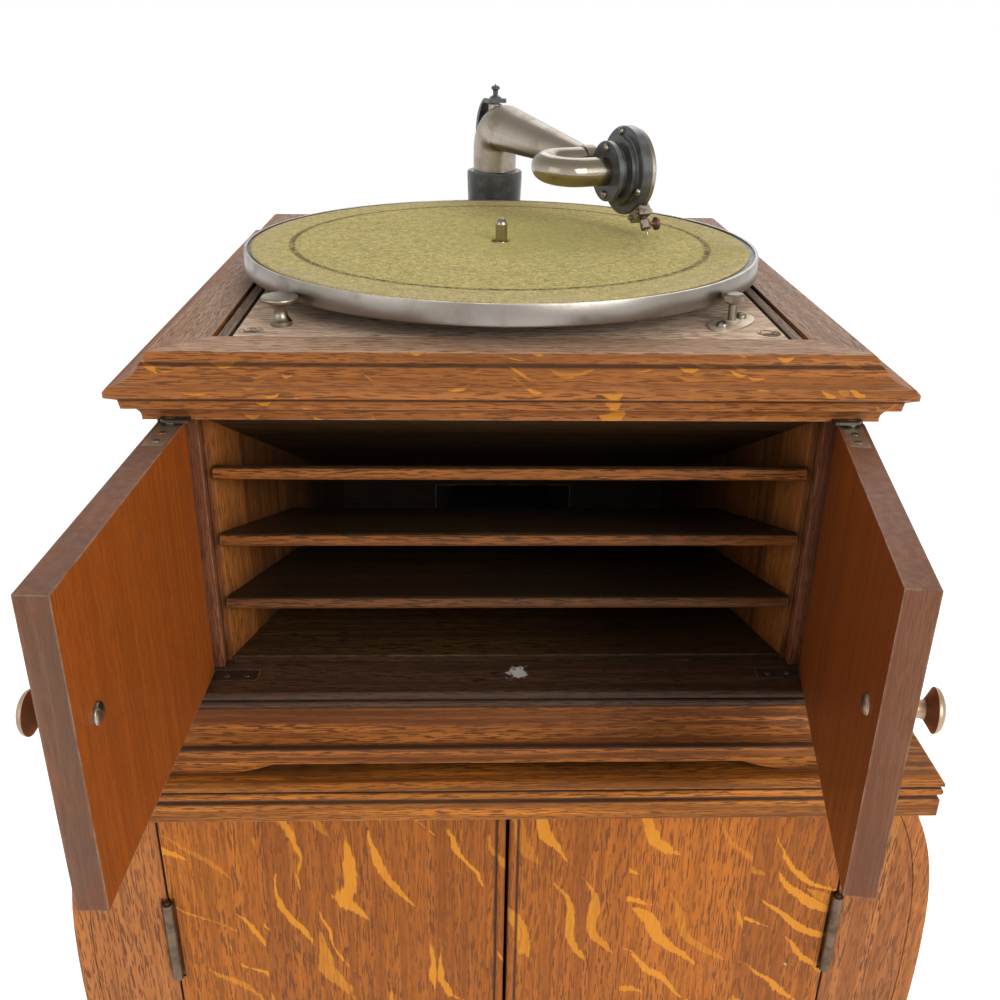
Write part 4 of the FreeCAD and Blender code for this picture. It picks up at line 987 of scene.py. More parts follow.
def mesh_of(name: str, bm: Shape) -> bpy.types.Mesh:
    """Turn a shape into a mesh with outward normals.

    Args:
        name: The mesh's name.
        bm: The shape, which is freed.

    Returns:
        The mesh.
    """
    bmesh.ops.recalc_face_normals(bm, faces=bm.faces)
    made = bpy.data.meshes.new(name)
    bm.to_mesh(made)
    bm.free()
    return made


def frame_along(direction: Vector, place: Vector, spin: float = 0.0) -> Matrix:
    """Matrix that stands a piece built along +Z on a place, along a direction."""
    turn = direction.to_track_quat("Z", "Y").to_matrix().to_4x4()
    return Matrix.Translation(place) @ turn @ Matrix.Rotation(spin, 4, "Z")


def middle_at(box: Box, height: float = 0.0) -> Vector:
    """Middle of a box in plan, at a height."""
    low, high = box
    return Vector(((low.x + high.x) / 2, (low.y + high.y) / 2, height))


def polar(reach: float, angle: float, height: float = 0.0) -> Vector:
    """Point at a distance and an angle round the upright axis."""
    return Vector((reach * math.cos(angle), reach * math.sin(angle), height))


def turns(count: int) -> List[float]:
    """Angles that divide a full turn evenly."""
    return [2 * math.pi * i / count for i in range(count)]


def bridge(bm: Shape, loops: Sequence[Loop]) -> None:
    """Close a ring from loops.

    Args:
        bm: The shape.
        loops: Loops of equal length, each joined to the next and the last to the first.
    """
    for a, b in zip(loops, [*loops[1:], loops[0]]):
        for i in range(len(a)):
            j = (i + 1) % len(a)
            bm.faces.new((a[i], b[i], b[j], a[j]))


@dataclass(frozen=True)
class SlottedScrew:
    """Domed screw head with a driver slot, in metres."""

    radius: float
    height: float
    slot_width: float
    slot_depth: float
    sunk: float = 0.0002
    columns: int = 14
    rows: int = 12
    rim_share: float = 0.35

    def rise(self, reach: float) -> float:
        """Read the dome's height.

        Args:
            reach: Distance from the middle.

        Returns:
            The height.
        """
        share = min(1.0, reach / self.radius)
        dome = (1.0 - self.rim_share) * math.sqrt(max(0.0, 1.0 - share * share))
        return self.height * (self.rim_share + dome)

    def build(self, bm: Shape, matrix: Matrix) -> None:
        """Add the head to a bmesh.

        Args:
            bm: The bmesh.
            matrix: Where the head stands.
        """
        half = self.slot_width / 2
        steps = [math.cos(math.pi * i / self.columns) for i in range(self.columns + 1)]
        left = [(-half + (self.radius - half) * (s - 1) / 2, False) for s in reversed(steps)]
        right = [(half + (self.radius - half) * (1 - s) / 2, False) for s in steps]
        columns = []
        for x, cut in left + [(-half, True), (half, True)] + right:
            span = math.sqrt(max(0.0, self.radius ** 2 - x * x))
            column = []
            for i in range(self.rows + 1):
                y = -span * math.cos(math.pi * i / self.rows)
                top = self.rise(math.hypot(x, y))
                z = min(top, self.height - self.slot_depth) if cut else top
                column.append(bm.verts.new(matrix @ Vector((x, y, z))))
            columns.append(column)
        faces = [bm.faces.new((a[i], b[i], b[i + 1], a[i + 1]))
                 for a, b in zip(columns, columns[1:]) for i in range(self.rows)]
        bmesh.ops.remove_doubles(bm, verts=[v for column in columns for v in column], dist=1e-6)
        beside: Dict[bmesh.types.BMVert, Loop] = {}
        for edge in dict.fromkeys(e for f in faces if f.is_valid for e in f.edges):
            if edge.is_boundary:
                for vert in edge.verts:
                    beside.setdefault(vert, []).append(edge.other_vert(vert))
        rim = [next(iter(beside))]
        while len(rim) < len(beside):
            rim.append(next(v for v in beside[rim[-1]] if v not in rim))
        back = matrix.inverted()
        low = [back @ vert.co for vert in rim]
        foot = [bm.verts.new(matrix @ Vector((place.x, place.y, -self.sunk))) for place in low]
        for i in range(len(rim)):
            bm.faces.new((rim[i - 1], rim[i], foot[i], foot[i - 1]))
        bm.faces.new(foot)


NICKEL = MetalFinish("nickel", (0.42, 0.37, 0.30), (0.13, 0.10, 0.07), 0.35, 0.27, 0.4, top_dust_and_reflection=0.85)
BRIGHT = MetalFinish("bright_nickel", (0.40, 0.355, 0.28), (0.115, 0.088, 0.058), 0.4, 0.12, 0.25, top_dust_and_reflection=0.8)
PLATE = MetalFinish("dull_plate", (0.58, 0.49, 0.39), (0.38, 0.30, 0.22), 0.7, 0.5, 0.65)
RIM = MetalFinish("rim_nickel", (0.30, 0.27, 0.235), (0.19, 0.16, 0.13), 0.6, 0.26, 0.4, pit_share=0.1)
LEAF = MetalFinish("leaf_steel", (0.52, 0.49, 0.40), (0.26, 0.22, 0.16), 0.8, 0.34, 0.5)
STEEL = MetalFinish("aged_steel", (0.25, 0.185, 0.135), (0.12, 0.08, 0.05), 0.8, 0.36, 0.55)
DARK_STEEL = MetalFinish("dark_steel", (0.13, 0.11, 0.09), (0.06, 0.042, 0.03), 0.8, 0.45, 0.6)
WORN = MetalFinish("worn_nickel", (0.31, 0.265, 0.215), (0.10, 0.052, 0.032), 0.9, 0.35, 0.6, scale=3.0)
RUST = MetalFinish("rusty_steel", (0.17, 0.095, 0.065), (0.085, 0.038, 0.022), 0.9, 0.5, 0.7, scale=3.0)
BRONZE = MetalFinish("aged_bronze", (0.40, 0.28, 0.185), (0.21, 0.13, 0.075), 0.8, 0.34, 0.5)
HINGE = MetalFinish("hinge_bronze", (0.17, 0.117, 0.08), (0.08, 0.05, 0.029), 0.8, 0.38, 0.55)
BRASS = MetalFinish("motor_brass", (0.62, 0.46, 0.20), (0.35, 0.23, 0.09), 0.6, 0.3, 0.45)
BLACK = JapanFinish("japan_black", colour=(0.04, 0.041, 0.041), dust_share=0.4, rough=0.3)
IRON = JapanFinish("motor_iron", colour=(0.03, 0.031, 0.032), dust_share=0.45)
# Japanned black, darkened further as painted shade in the horn's throat.
THROAT_BLACK_AND_SHADE = JapanFinish("throat_black_and_shade", colour=(0.005, 0.005, 0.005), dust=(0.03, 0.026, 0.02), rough=0.6)

DARK_PORE = (0.012, 0.006, 0.003)
WEATHERED = FaceTint(tuple(ABOVE), FaceSide.TOWARDS, (0.39, 0.245, 0.16), 0.95, 0.6, floor=0.972)
# Weathered tint for the front rail, made lighter as painted light on its top.
FRONT_WEATHERED_AND_LIT = replace(WEATHERED, colour=(0.54, 0.345, 0.225))
# Painted light: the slats' forward faces are lighter, fading into painted shade on the lower slats.
SLAT_EDGE_LIGHT = FaceTint(FORWARD, FaceSide.TOWARDS, (0.42, 0.132, 0.022), 0.9, 0.45, floor=0.915, fade=0.13,
                     turn=(0.45, 0.7))
# Painted shade: the horn boards' forward-facing faces high in the horn are made near black.
HORN_BACK_BOARD_SHADE = FaceTint(FORWARD, FaceSide.TOWARDS, (0.003, 0.002, 0.0015), 1.0, 0.8, floor=0.815)
# Depth span of the painted shade inside the horn, darkest at the back.
HORN_BACK_SHADE_SPAN = (-0.085, 0.0)

# The quirks paint dark lines of shade along the steps of the mouldings.
FRAME_OAK = OakFinish("frame_oak", (0.17, 0.055, 0.013), (0.43, 0.15, 0.036), fleck_length=0.011,
                      fleck_width=0.0034, fleck_lean=0.3, fleck_swing=0.6, fleck_share=0.42, fleck_bow=1.5,
                      fleck_strength=0.62, speck_share=0.0, quirks=((UP, 0.9746), (UP, 0.9605)),
                      upright_flecks=True, board_width=0.4, tint=WEATHERED, seed=3.0, wear_share=0.65,
                      grime_and_shade_share=0.85, grime_and_shade_reach=0.008)
# Front rail's oak, with its top painted lighter as if better lit.
LIT_RAIL_OAK = replace(FRAME_OAK, name="rail_oak", tint=FRONT_WEATHERED_AND_LIT)
DOOR_OAK = OakFinish("door_oak", (0.28, 0.078, 0.010), (0.54, 0.158, 0.016), fleck_share=0.85, seed=11.0,
                     grime_and_shade_reach=0.005, grime_and_shade_share=0.9, pore=(0.12, 0.036, 0.009),
                     quirks=((SIDEWAYS, 0.0061),))
PANEL_OAK = OakFinish("panel_oak", (0.31, 0.10, 0.026), (0.56, 0.195, 0.048), fleck_share=0.3, seed=5.0,
                      fleck_strength=0.25, board_width=0.12)
LEG_OAK = replace(PANEL_OAK, name="leg_oak", board_width=1.0)
BASE_OAK = OakFinish("base_oak", (0.12, 0.035, 0.008), (0.66, 0.22, 0.042), board_width=0.4, seed=7.0,
                     pore_share=0.9, quirks=((UP, 0.7905), (UP, 0.7745)))
TOP_OAK = OakFinish("cabinet_top_oak", (0.14, 0.045, 0.009), (0.78, 0.255, 0.03), board_width=0.5, seed=9.0,
                    speck_share=0.12, quirks=((UP, 0.7534), (UP, 0.7464)))
HORN_OAK = OakFinish("horn_oak", (0.08, 0.026, 0.006), (0.31, 0.102, 0.02), seed=2.0, back_shade=HORN_BACK_SHADE_SPAN,
                     grime_and_shade_reach=0.018, grime_and_shade_share=0.85)
SLAT_OAK = OakFinish("slat_oak", (0.028, 0.015, 0.007), (0.07, 0.036, 0.015), rough=0.4, coat=0.12, seed=4.0,
                     tint=SLAT_EDGE_LIGHT, speck_share=0.03, pore=DARK_PORE, back_shade=HORN_BACK_SHADE_SPAN)
FLOOR_OAK = OakFinish("horn_floor_oak", (0.026, 0.013, 0.005), (0.085, 0.04, 0.013), rough=0.5, seed=13.0,
                      speck_share=0.03, tint=HORN_BACK_BOARD_SHADE, pore=DARK_PORE)
INNER_OAK = OakFinish("inner_oak", (0.05, 0.022, 0.010), (0.13, 0.06, 0.027), seed=6.0, pore=DARK_PORE)
POST_OAK = OakFinish("post_oak", (0.12, 0.038, 0.014), (0.30, 0.102, 0.043), fleck_share=0.15, seed=8.0,
                     fleck_strength=0.2, wear_share=0.7)
BOARD_OAK = OakFinish("board_oak", (0.42, 0.295, 0.205), (0.84, 0.61, 0.44), rough=0.65, coat=0.0, seed=10.0,
                      board_width=0.5, speck_share=0.12, grime_and_shade_share=0.0)
STRIP_OAK = OakFinish("strip_oak", (0.10, 0.066, 0.045), (0.26, 0.175, 0.12), rough=0.65, coat=0.0, seed=15.0,
                      grime_and_shade_share=0.95)
SILL_OAK = OakFinish("sill_oak", (0.044, 0.021, 0.011), (0.125, 0.06, 0.03), rough=0.45, coat=0.1, seed=12.0,
                     speck_share=0.1, pore=DARK_PORE)


@dataclass
class MachineCase:
    """The machine's case: frame, walls, base moulding and horn."""

    shop: Workshop
    edge_mm: float = 0.7
    fine_edge_mm: float = 0.5
    horn_edge_mm: float = 0.4
    slat_edge_mm: float = 0.3
    splash_inset: float = 0.028
    splash_places: Tuple[Place, ...] = (
        (0.0045, -0.0096, 0.007), (0.004, 0.040, 0.004), (0.030, 0.044, 0.004))
    sill_quirk: float = 0.005

    def dress(self) -> None:
        """Dress the wooden case."""
        edge, fine = self.edge_mm, self.fine_edge_mm
        self.shop.dress_all(
            ("top_frame_rails", LIT_RAIL_OAK, Grain.WIDTH, edge),
            ("top_frame_sides", FRAME_OAK, Grain.DEPTH, edge),
            ("base_front", BASE_OAK, Grain.WIDTH, edge),
            ("base_sides", BASE_OAK, Grain.DEPTH, edge),
            ("case_bottom", self.sill_finish(), Grain.WIDTH, fine),
            ("case_sides", PANEL_OAK, Grain.DEPTH, edge),
            ("case_posts", POST_OAK, Grain.HEIGHT, edge),
            ("case_back", PANEL_OAK, Grain.WIDTH, edge),
            ("horn_sides", HORN_OAK, Grain.HEIGHT, self.horn_edge_mm),
            ("horn_boards", FLOOR_OAK, Grain.WIDTH, self.horn_edge_mm),
            ("louvres", SLAT_OAK, Grain.WIDTH, self.slat_edge_mm),
            ("motor_board", BOARD_OAK, Grain.WIDTH, fine),
            ("board_rests", STRIP_OAK, Grain.DEPTH, fine))

    def sill_finish(self) -> OakFinish:
        """Dark sill with three splashes of paint, placed from its own box.

        Returns:
            The finish.
        """
        low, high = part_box("case_bottom")
        front = low.y + self.splash_inset
        spots = tuple(PaintSpot((x, front + y, high.z), radius) for x, y, radius in self.splash_places)
        # The quirk paints a dark line of shade along the sill, above its foot.
        return replace(SILL_OAK, spots=spots, quirks=((UP, low.z + self.sill_quirk),))


@dataclass
class FrontDoors:
    """The two doors before the horn, with their pivot plates, knobs and screws."""

    shop: Workshop
    # Inside colours by side: the left door's inside is painted lighter as if lit, the right's darker as if in
    # shade.
    inner: Tuple[Colour, Colour] = ((0.40, 0.093, 0.010), (0.30, 0.072, 0.011))
    inner_dark: Tuple[Colour, Colour] = ((0.26, 0.058, 0.007), (0.19, 0.044, 0.008))
    edge: Tuple[Colour, Colour] = ((0.18, 0.099, 0.065), (0.21, 0.092, 0.048))
    edge_share: float = 0.9
    edge_rough: float = 0.6
    edge_mm: float = 1.0
    screw_reaches: Tuple[float, float] = (0.013, 0.0235)
    leaf_screw: SlottedScrew = SlottedScrew(0.0019, 0.0005, 0.0006, 0.0004)
    knob_screw: SlottedScrew = SlottedScrew(0.0047, 0.0021, 0.0011, 0.0012)
    knob_screw_depth: float = 0.36
    leaf_spin: float = 0.4
    knob_spin: float = 0.5

    def dress(self) -> None:
        """Dress both doors and add their screws."""
        for side, light, dark, edge in zip(("left", "right"), self.inner, self.inner_dark, self.edge):
            door = f"upper_door_{side}"
            tint = FaceTint(self.panel_normal(door), FaceSide.BESIDE, edge, self.edge_share, self.edge_rough)
            finish = OakFinish(f"upper_door_oak_{side}", dark, light, pore_share=0.35, tint=tint, seed=14.0,
                               board_width=0.3, rough=0.42, coat=0.1, wear_share=0.8)
            self.shop.dress_all((door, finish, Grain.HEIGHT, self.edge_mm), (f"upper_leaves_{side}", LEAF),
                                (f"upper_knob_{side}", BRONZE))
            self.add_knob_screw(side)
            self.add_leaf_screws(side)
        self.shop.dress("pivot_plates", DARK_STEEL)

    def panel_normal(self, door: str) -> Place:
        """Normal of a door's largest face."""
        return tuple(max(self.shop.node(door).data.polygons, key=lambda p: p.area).normal)

    def add_leaf_screws(self, side: str) -> None:
        """Set two screws in the plate on a door's top edge and two in its plate on the sill.

        Args:
            side: The door's side.
        """
        pivot = Vector(self.shop.joint(f"upper_door_{side}_swing")["pos_m"])
        low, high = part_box(f"upper_door_{side}")
        along = (low + high) / 2 - pivot
        inward = Vector((-pivot.x, 0.0, 0.0))
        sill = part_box("case_bottom")[1].z
        for name, body, ray, z in (("door", f"upper_{side}", along, high.z), ("sill", "case", inward, sill)):
            ray = Vector((ray.x, ray.y, 0.0)).normalized()
            foot = Vector((pivot.x, pivot.y, z))
            stands = [frame_along(ABOVE, foot + ray * reach, self.leaf_spin + number)
                      for number, reach in enumerate(self.screw_reaches)]
            self.shop.add_screws(f"{name}_leaf_screws_{side}", self.leaf_screw, stands, STEEL, body, "bronze")

    def add_knob_screw(self, side: str) -> None:
        """Cover the plain head inside the door with a slotted one.

        Args:
            side: The door's side.
        """
        boxes = self.shop.islands(f"upper_knob_{side}")
        head, knob = [(low + high) / 2 for low, high in boxes[:2]]
        inward = (head - knob).normalized()
        low, high = boxes[0]
        depth = (high - low).dot(Vector(map(abs, inward)))
        stand = frame_along(inward, head - inward * (depth * self.knob_screw_depth), self.knob_spin)
        self.shop.add_screws(f"upper_knob_screw_{side}", self.knob_screw, [stand], NICKEL, f"upper_{side}")


@dataclass
class Deck:
    """Turntable, controls and screws on the motor board."""

    shop: Workshop
    felt_rings: int = 84
    felt_sectors: int = 288
    felt_relief: float = 0.00022
    felt_margin: float = 0.0022
    felt_shift: float = -0.0009
    felt_edge: float = 0.55
    fray: float = 0.00035
    groove: float = 0.00045
    groove_half: float = 0.012
    lint_count: int = 90
    lint_steps: int = 5
    lint_reach: float = 0.97
    lint_curl: float = 1.4
    lint_lengths: Tuple[float, float] = (0.0012, 0.0042)
    lint_halves: Tuple[float, float] = (0.00006, 0.00013)
    lint_gap: float = 0.00006
    lint_arch: float = 0.00012
    rim_sectors: int = 360
    rim_depth: float = 0.0115
    rim_wall: float = 0.0017
    ridges: int = 40
    ridge: float = 0.00052
    furrow: float = 0.00018
    knurl_drops: Tuple[float, float] = (0.0009, 0.0044)
    knurl_lip: float = 0.0003
    knurl_bore: float = 0.98
    board_screw: SlottedScrew = SlottedScrew(0.0047, 0.0018, 0.0011, 0.0008)
    board_screw_sink: float = 0.6
    plate_screw: SlottedScrew = SlottedScrew(0.0032, 0.0026, 0.0009, 0.0007)

    def dress(self) -> None:
        """Dress the deck's metal, and lay the felt."""
        self.shop.dress_all(
            ("turntable_plate", IRON), ("turntable_spindle", BRIGHT), ("brake_knob", NICKEL),
            ("speed_plate", PLATE), ("speed_screw", NICKEL), ("board_screws", DARK_STEEL),
            ("winding_escutcheon", NICKEL))
        self.add_rim()
        self.lay_felt()
        self.scatter_lint()
        self.add_screws()
        self.add_knurl()

    def add_rim(self) -> None:
        """Wrap the turntable's edge in a smooth nickel band with a rolled lip."""
        low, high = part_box("turntable_plate")
        middle = middle_at((low, high))
        radius, wall, top = (high.x - low.x) / 2, self.rim_wall, high.z
        foot = top - self.rim_depth
        profile = [(radius - wall, foot + 0.0006), (radius - wall * 0.5, foot - 0.0001),
                   (radius, foot + 0.0004), (radius + 0.0002, foot + 0.0012), (radius + 0.0002, top - 0.0009),
                   (radius - 0.0001, top - 0.0001), (radius - 0.0006, top + 0.0001),
                   (radius - wall, top - 0.0001), (radius - wall - 0.0001, top - 0.0012)]
        bm = bmesh.new()
        bridge(bm, [[bm.verts.new(middle + polar(reach, turn, z)) for turn in turns(self.rim_sectors)]
                    for reach, z in profile])
        self.shop.add("turntable_rim_band", bm, RIM, "turntable", "nickel")

    def felt_place(self) -> Tuple[Vector, float, float, float]:
        """Read the felt's place off its CAD solid.

        Returns:
            Middle of its foot, outer radius, bore radius and thickness.
        """
        low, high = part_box("turntable_felt")
        middle = middle_at((low, high), low.z)
        corners = self.shop.node("turntable_felt").data.vertices
        bore = min((Vector(v.co.xy) - middle.xy).length for v in corners)
        middle.x += self.felt_shift
        return middle, (high.x - low.x) / 2 - self.felt_margin, bore - self.felt_shift, high.z - low.z

    def felt_top(self, place: Vector, radius: float, thick: float, ring: float) -> float:
        """Height of the felt's nap over its foot.

        Args:
            place: Where on the felt, from the spindle.
            radius: The felt's radius.
            thick: Its thickness.
            ring: Share of the radius where records have worn a groove.

        Returns:
            The height, in metres.
        """
        nap = noise.noise(place * 420.0) * 0.6 + noise.noise(place * 95.0) * 0.4
        off = abs(place.length / radius - ring)
        patchy = 0.55 + 0.45 * noise.noise(place * 130.0)
        worn = max(0.0, 1.0 - off / self.groove_half) * self.groove * patchy
        return thick - self.felt_relief * (1.0 - nap) - worn

    def lay_felt(self) -> None:
        """Model the felt as a disc with nap, a worn groove and a frayed rim."""
        middle, radius, bore, thick = self.felt_place()
        finish = FeltFinish("felt", tuple(middle), radius)
        bm = bmesh.new()
        rows: List[Loop] = []
        for ring in range(self.felt_rings + 1):
            share = ring / self.felt_rings
            row = []
            for turn in turns(self.felt_sectors):
                ray = polar(1.0, turn)
                edge = radius - self.fray * (0.5 + 0.5 * noise.noise(ray * 60.0))
                point = ray * (bore + (edge - bore) * share)
                z = self.felt_top(point, radius, thick, finish.ring_share)
                if ring in (0, self.felt_rings):
                    z = thick * self.felt_edge
                row.append(bm.verts.new(middle + point + Vector((0.0, 0.0, z))))
            rows.append(row)
        inner, outer = [[bm.verts.new(Vector((v.co.x, v.co.y, middle.z))) for v in row]
                        for row in (rows[0], rows[-1])]
        bridge(bm, [inner, *rows, outer])
        felt = self.shop.add("turntable_felt_disc", bm, finish, "turntable", "felt", 180.0)
        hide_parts("turntable_felt")

    def scatter_lint(self) -> None:
        """Lay short pale fibres on the felt."""
        middle, radius, bore, thick = self.felt_place()
        chance, steps = random.Random(7), self.lint_steps
        bm = bmesh.new()
        for _ in range(self.lint_count):
            reach = bore + (radius * self.lint_reach - bore) * math.sqrt(chance.random())
            start = polar(reach, chance.uniform(0, 2 * math.pi))
            heading = chance.uniform(0, 2 * math.pi)
            curl = chance.uniform(-self.lint_curl, self.lint_curl)
            length = chance.uniform(*self.lint_lengths)
            half = chance.uniform(*self.lint_halves)
            previous = None
            for step in range(steps + 1):
                ray = polar(1.0, heading)
                side = Vector((-ray.y, ray.x, 0.0)) * half
                z = thick + self.lint_gap + self.lint_arch * math.sin(math.pi * step / steps)
                pair = [bm.verts.new(middle + start + side * sign + Vector((0, 0, z))) for sign in (-1, 1)]
                if previous:
                    bm.faces.new((previous[0], pair[0], pair[1], previous[1]))
                previous = pair
                start = start + ray * (length / steps)
                heading += curl / steps
        self.shop.add("felt_lint", bm, MicaFinish("lint"), "turntable", "felt", 180.0)

    def add_screws(self) -> None:
        """Stand slotted heads on the plain screws of the board and of the speed plate."""
        chance = random.Random(3)
        sink = self.board_screw.height * self.board_screw_sink
        board = [middle_at(box, box[1].z - sink) for box in self.shop.islands("board_screws")]
        plate = [middle_at(box, box[0].z) for box in self.shop.islands("speed_plate")[:2]]
        for name, screw, feet, finish in (("board_screw_heads", self.board_screw, board, DARK_STEEL),
                                          ("speed_plate_screws", self.plate_screw, plate, NICKEL)):
            stands = [frame_along(ABOVE, foot, chance.uniform(0, 3)) for foot in feet]
            self.shop.add_screws(name, screw, stands, finish, "case")

    def add_knurl(self) -> None:
        """Put a knurled ring round the speed screw's head."""
        low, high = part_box("speed_screw")
        radius, middle = (high.x - low.x) / 2, middle_at((low, high))
        top, foot = [high.z - drop for drop in self.knurl_drops]
        bm = bmesh.new()
        loops = []
        for z, out in ((foot, 0.0), (foot + self.knurl_lip, 1.0), (top - self.knurl_lip, 1.0), (top, 0.0)):
            reaches = [radius + (self.furrow if i % 2 else self.ridge) * out for i in range(self.ridges * 2)]
            loops.append([bm.verts.new(middle + polar(reach, turn, z))
                          for reach, turn in zip(reaches, turns(self.ridges * 2))])
        for z in (top, foot):
            loops.append([bm.verts.new(middle + (v.co.xy - middle.xy).to_3d() * self.knurl_bore
                                       + Vector((0, 0, z))) for v in loops[0]])
        bridge(bm, loops)
        self.shop.add("speed_screw_knurl", bm, NICKEL, "speed", "nickel", 20.0)


@dataclass
class ToneArm:
    """Arm, gooseneck and sound box."""

    shop: Workshop
    box_screw: SlottedScrew = SlottedScrew(0.0025, 0.0021, 0.0008, 0.0008)
    box_screw_sink: float = 0.0006
    spin_start: float = 0.7
    spin_step: float = 0.9

    def dress(self) -> None:
        """Dress the arm and slot the flange's screws."""
        shop = self.shop
        shop.dress_all(
            ("tonearm_collar", BLACK), ("tonearm_bracket", BLACK), ("tonearm_tube", NICKEL),
            ("gooseneck", BRIGHT), ("reproducer", BLACK), ("reproducer_ring", NICKEL),
            ("diaphragm", MicaFinish()), ("needle_bar", WORN), ("needle_screw", RUST), ("needle", BRIGHT))
        outward = Vector(shop.joint("gooseneck_lift")["axis"]).normalized()
        sink = outward * self.box_screw_sink
        stands = [frame_along(outward, (low + high) / 2 - sink, self.spin_start + number * self.spin_step)
                  for number, (low, high) in enumerate(shop.islands("reproducer")[:-1])]
        shop.add_screws("sound_box_screws", self.box_screw, stands, NICKEL, "neck")


@dataclass
class Motor:
    """Spring motor under the board, and the horn's throat."""

    shop: Workshop

    def dress(self) -> None:
        """Dress the motor's frame, gears and shafts."""
        self.shop.dress_all(
            ("motor_frame", IRON), ("horn_throat", THROAT_BLACK_AND_SHADE), ("spring_barrel", BRASS),
            ("winding_wheel", BRASS), ("governor", BRASS), ("winding_shaft", STEEL),
            ("intermediate_gear", STEEL))


@dataclass
class RecordCabinet:
    """The cabinet below: top, swelling sides, legs, inside and its two doors."""

    shop: Workshop
    edge_mm: float = 0.8
    fine_edge_mm: float = 0.5

    def dress(self) -> None:
        """Dress the cabinet and its doors."""
        edge, fine = self.edge_mm, self.fine_edge_mm
        self.shop.dress_all(
            ("cabinet_top", TOP_OAK, Grain.WIDTH, fine),
            ("cabinet_sides", PANEL_OAK, Grain.SIDE_HEIGHT, edge),
            ("cabinet_posts", LEG_OAK, Grain.HEIGHT, edge),
            ("cabinet_apron", PANEL_OAK, Grain.WIDTH, edge),
            ("cabinet_floor", INNER_OAK, Grain.WIDTH, fine),
            ("cabinet_shelf", INNER_OAK, Grain.WIDTH, fine),
            ("cabinet_back", INNER_OAK, Grain.WIDTH, fine),
            ("record_dividers", INNER_OAK, Grain.DEPTH, fine),
            ("cabinet_hinges", HINGE))
        for side in ("left", "right"):
            self.shop.dress_all((f"cabinet_door_{side}", DOOR_OAK, Grain.HEIGHT, edge),
                                (f"cabinet_leaves_{side}", HINGE), (f"cabinet_knob_{side}", BRONZE))


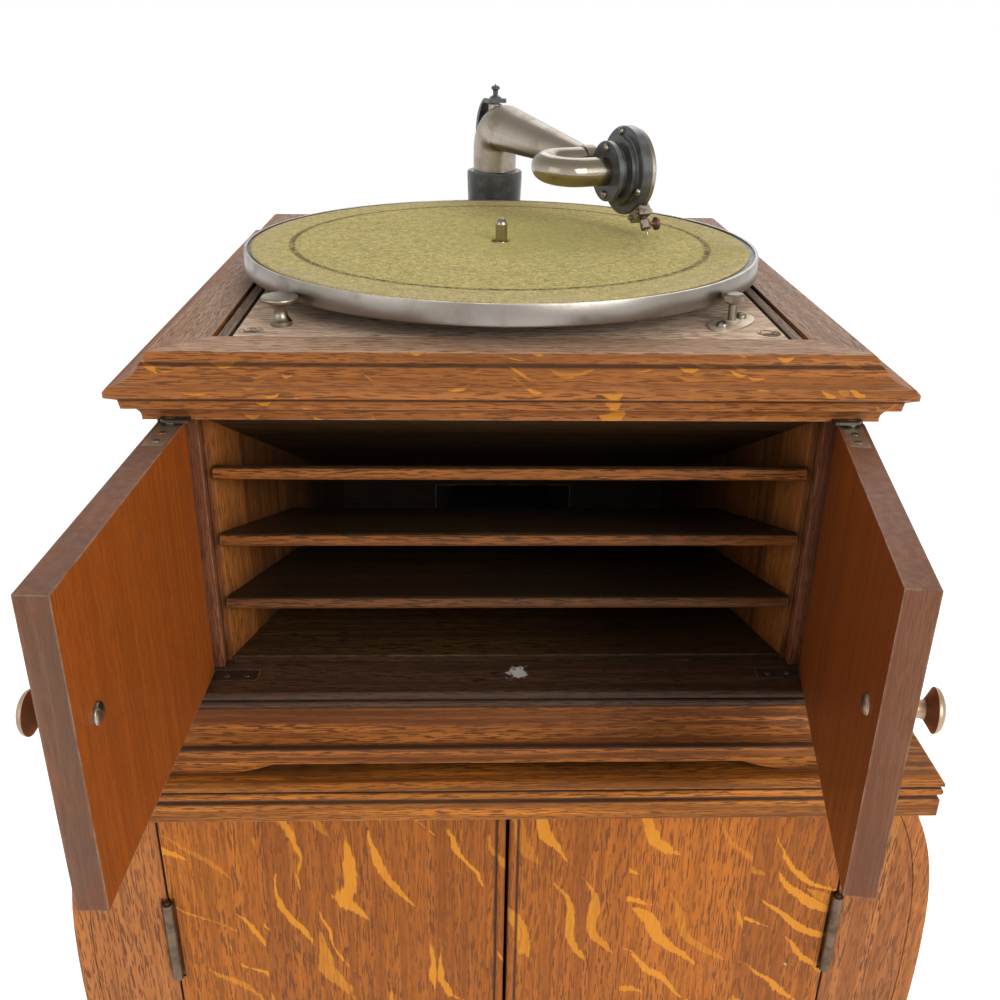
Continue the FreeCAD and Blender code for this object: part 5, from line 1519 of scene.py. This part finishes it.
@dataclass
class Studio:
    """Floor, soft light and the camera at the photograph's place."""

    image_px: float = 1000.0
    focal_px: float = 1053.602
    sensor_mm: float = 36.0
    camera_place: Place = (-0.02345, -0.58531, 1.12621)
    yaw: float = 0.0359
    pitch: float = 0.4349
    roll: float = 0.016
    ambient: float = 0.5
    floor_half: float = 6.0
    floor_glow: Colour = (0.6, 0.6, 0.6)
    lamps: Tuple[Tuple[str, Place, Place, float, float], ...] = (
        ("key", (1.5, -2.1, 1.9), (0.0, 0.0, 0.8), 1.5, 46.0),
        ("fill", (-1.9, -1.5, 1.7), (0.0, 0.0, 0.8), 1.6, 8.0),
        ("back", (0.4, 2.0, 2.4), (0.0, 0.0, 0.7), 1.6, 16.0))

    def build(self) -> None:
        """Set up the stage."""
        self.add_floor()
        self.add_world()
        for lamp in self.lamps:
            self.add_lamp(*lamp)
        self.add_camera()
        bpy.context.scene.view_settings.view_transform = "Standard"

    def add_floor(self) -> None:
        """Lay a plain pale floor under the feet."""
        bm = bmesh.new()
        bmesh.ops.create_grid(bm, x_segments=8, y_segments=8, size=self.floor_half)
        made, g, shader = new_material("floor_paper")
        paper = g.mix(g.noise(g.place(), 3.0, 2.0), (0.90, 0.90, 0.90), (0.93, 0.93, 0.93))
        glow = g.mix(self.looked_at(g), (0.0, 0.0, 0.0), self.floor_glow)
        g.put(shader, Base_Color=paper, Emission_Color=glow, Emission_Strength=1.0, Roughness=0.9)
        mesh = mesh_of("floor", bm)
        mesh.materials.append(made)
        floor = bpy.data.objects.new("floor", mesh)
        bpy.context.scene.collection.objects.link(floor)

    def add_world(self) -> None:
        """Light evenly from all round; the camera and mirrors see white."""
        world = bpy.data.worlds.new("studio")
        bpy.context.scene.world = world
        world.use_nodes = True
        g = Graph(world.node_tree)
        g.put(world.node_tree.nodes["Background"], Color=(1.0, 1.0, 1.0),
              Strength=g.ramp(self.looked_at(g), 0.0, 1.0, self.ambient, 1.0))

    @staticmethod
    def looked_at(g: Graph) -> Wire:
        """Tell looks from light.

        Args:
            g: The graph.

        Returns:
            One for rays of the camera, of mirrors and through glass, else nothing.
        """
        ray = g.node("LightPath")
        beyond = g.math("MAXIMUM", g.out(ray, "Is Glossy Ray"), g.out(ray, "Is Transmission Ray"))
        return g.math("MAXIMUM", g.out(ray, "Is Camera Ray"), beyond)

    @staticmethod
    def add_lamp(name: str, place: Place, aim: Place, size: float, power: float) -> None:
        """Add a soft square lamp.

        Args:
            name: The lamp's name.
            place: Where it hangs.
            aim: What it points at.
            size: Its side, in metres.
            power: Its power, in watts.
        """
        data = bpy.data.lights.new(name, "AREA")
        data.size = size
        data.energy = power
        lamp = bpy.data.objects.new(name, data)
        lamp.location = place
        lamp.rotation_mode = "QUATERNION"
        lamp.rotation_quaternion = (Vector(aim) - Vector(place)).to_track_quat("-Z", "Y")
        bpy.context.scene.collection.objects.link(lamp)

    def add_camera(self) -> None:
        """Stand the camera where the photograph was taken."""
        flat = math.cos(self.pitch)
        forward = Vector((math.sin(self.yaw) * flat, math.cos(self.yaw) * flat, -math.sin(self.pitch)))
        level = Vector((math.cos(self.yaw), -math.sin(self.yaw), 0.0))
        above = level.cross(forward)
        right = level * math.cos(self.roll) + above * math.sin(self.roll)
        up = right.cross(forward)
        data = bpy.data.cameras.new("camera")
        data.sensor_width = self.sensor_mm
        data.lens = self.focal_px / self.image_px * self.sensor_mm
        data.clip_start, data.clip_end = 0.01, 50.0
        camera = bpy.data.objects.new("camera", data)
        turn = Matrix((right, up, -forward)).transposed().to_4x4()
        camera.matrix_world = Matrix.Translation(self.camera_place) @ turn
        bpy.context.scene.collection.objects.link(camera)
        bpy.context.scene.camera = camera


def clear_scene() -> None:
    """Remove whatever a new file starts with."""
    for obj in list(bpy.data.objects):
        bpy.data.objects.remove(obj)


def main() -> None:
    """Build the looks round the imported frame."""
    logging.basicConfig(level=logging.INFO, format="%(message)s")
    clear_scene()
    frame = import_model()
    shop = Workshop(frame)
    for part in (MachineCase, FrontDoors, Deck, ToneArm, Motor, RecordCabinet):
        part(shop).dress()
    Studio().build()


if __name__ == "__main__":
    main()
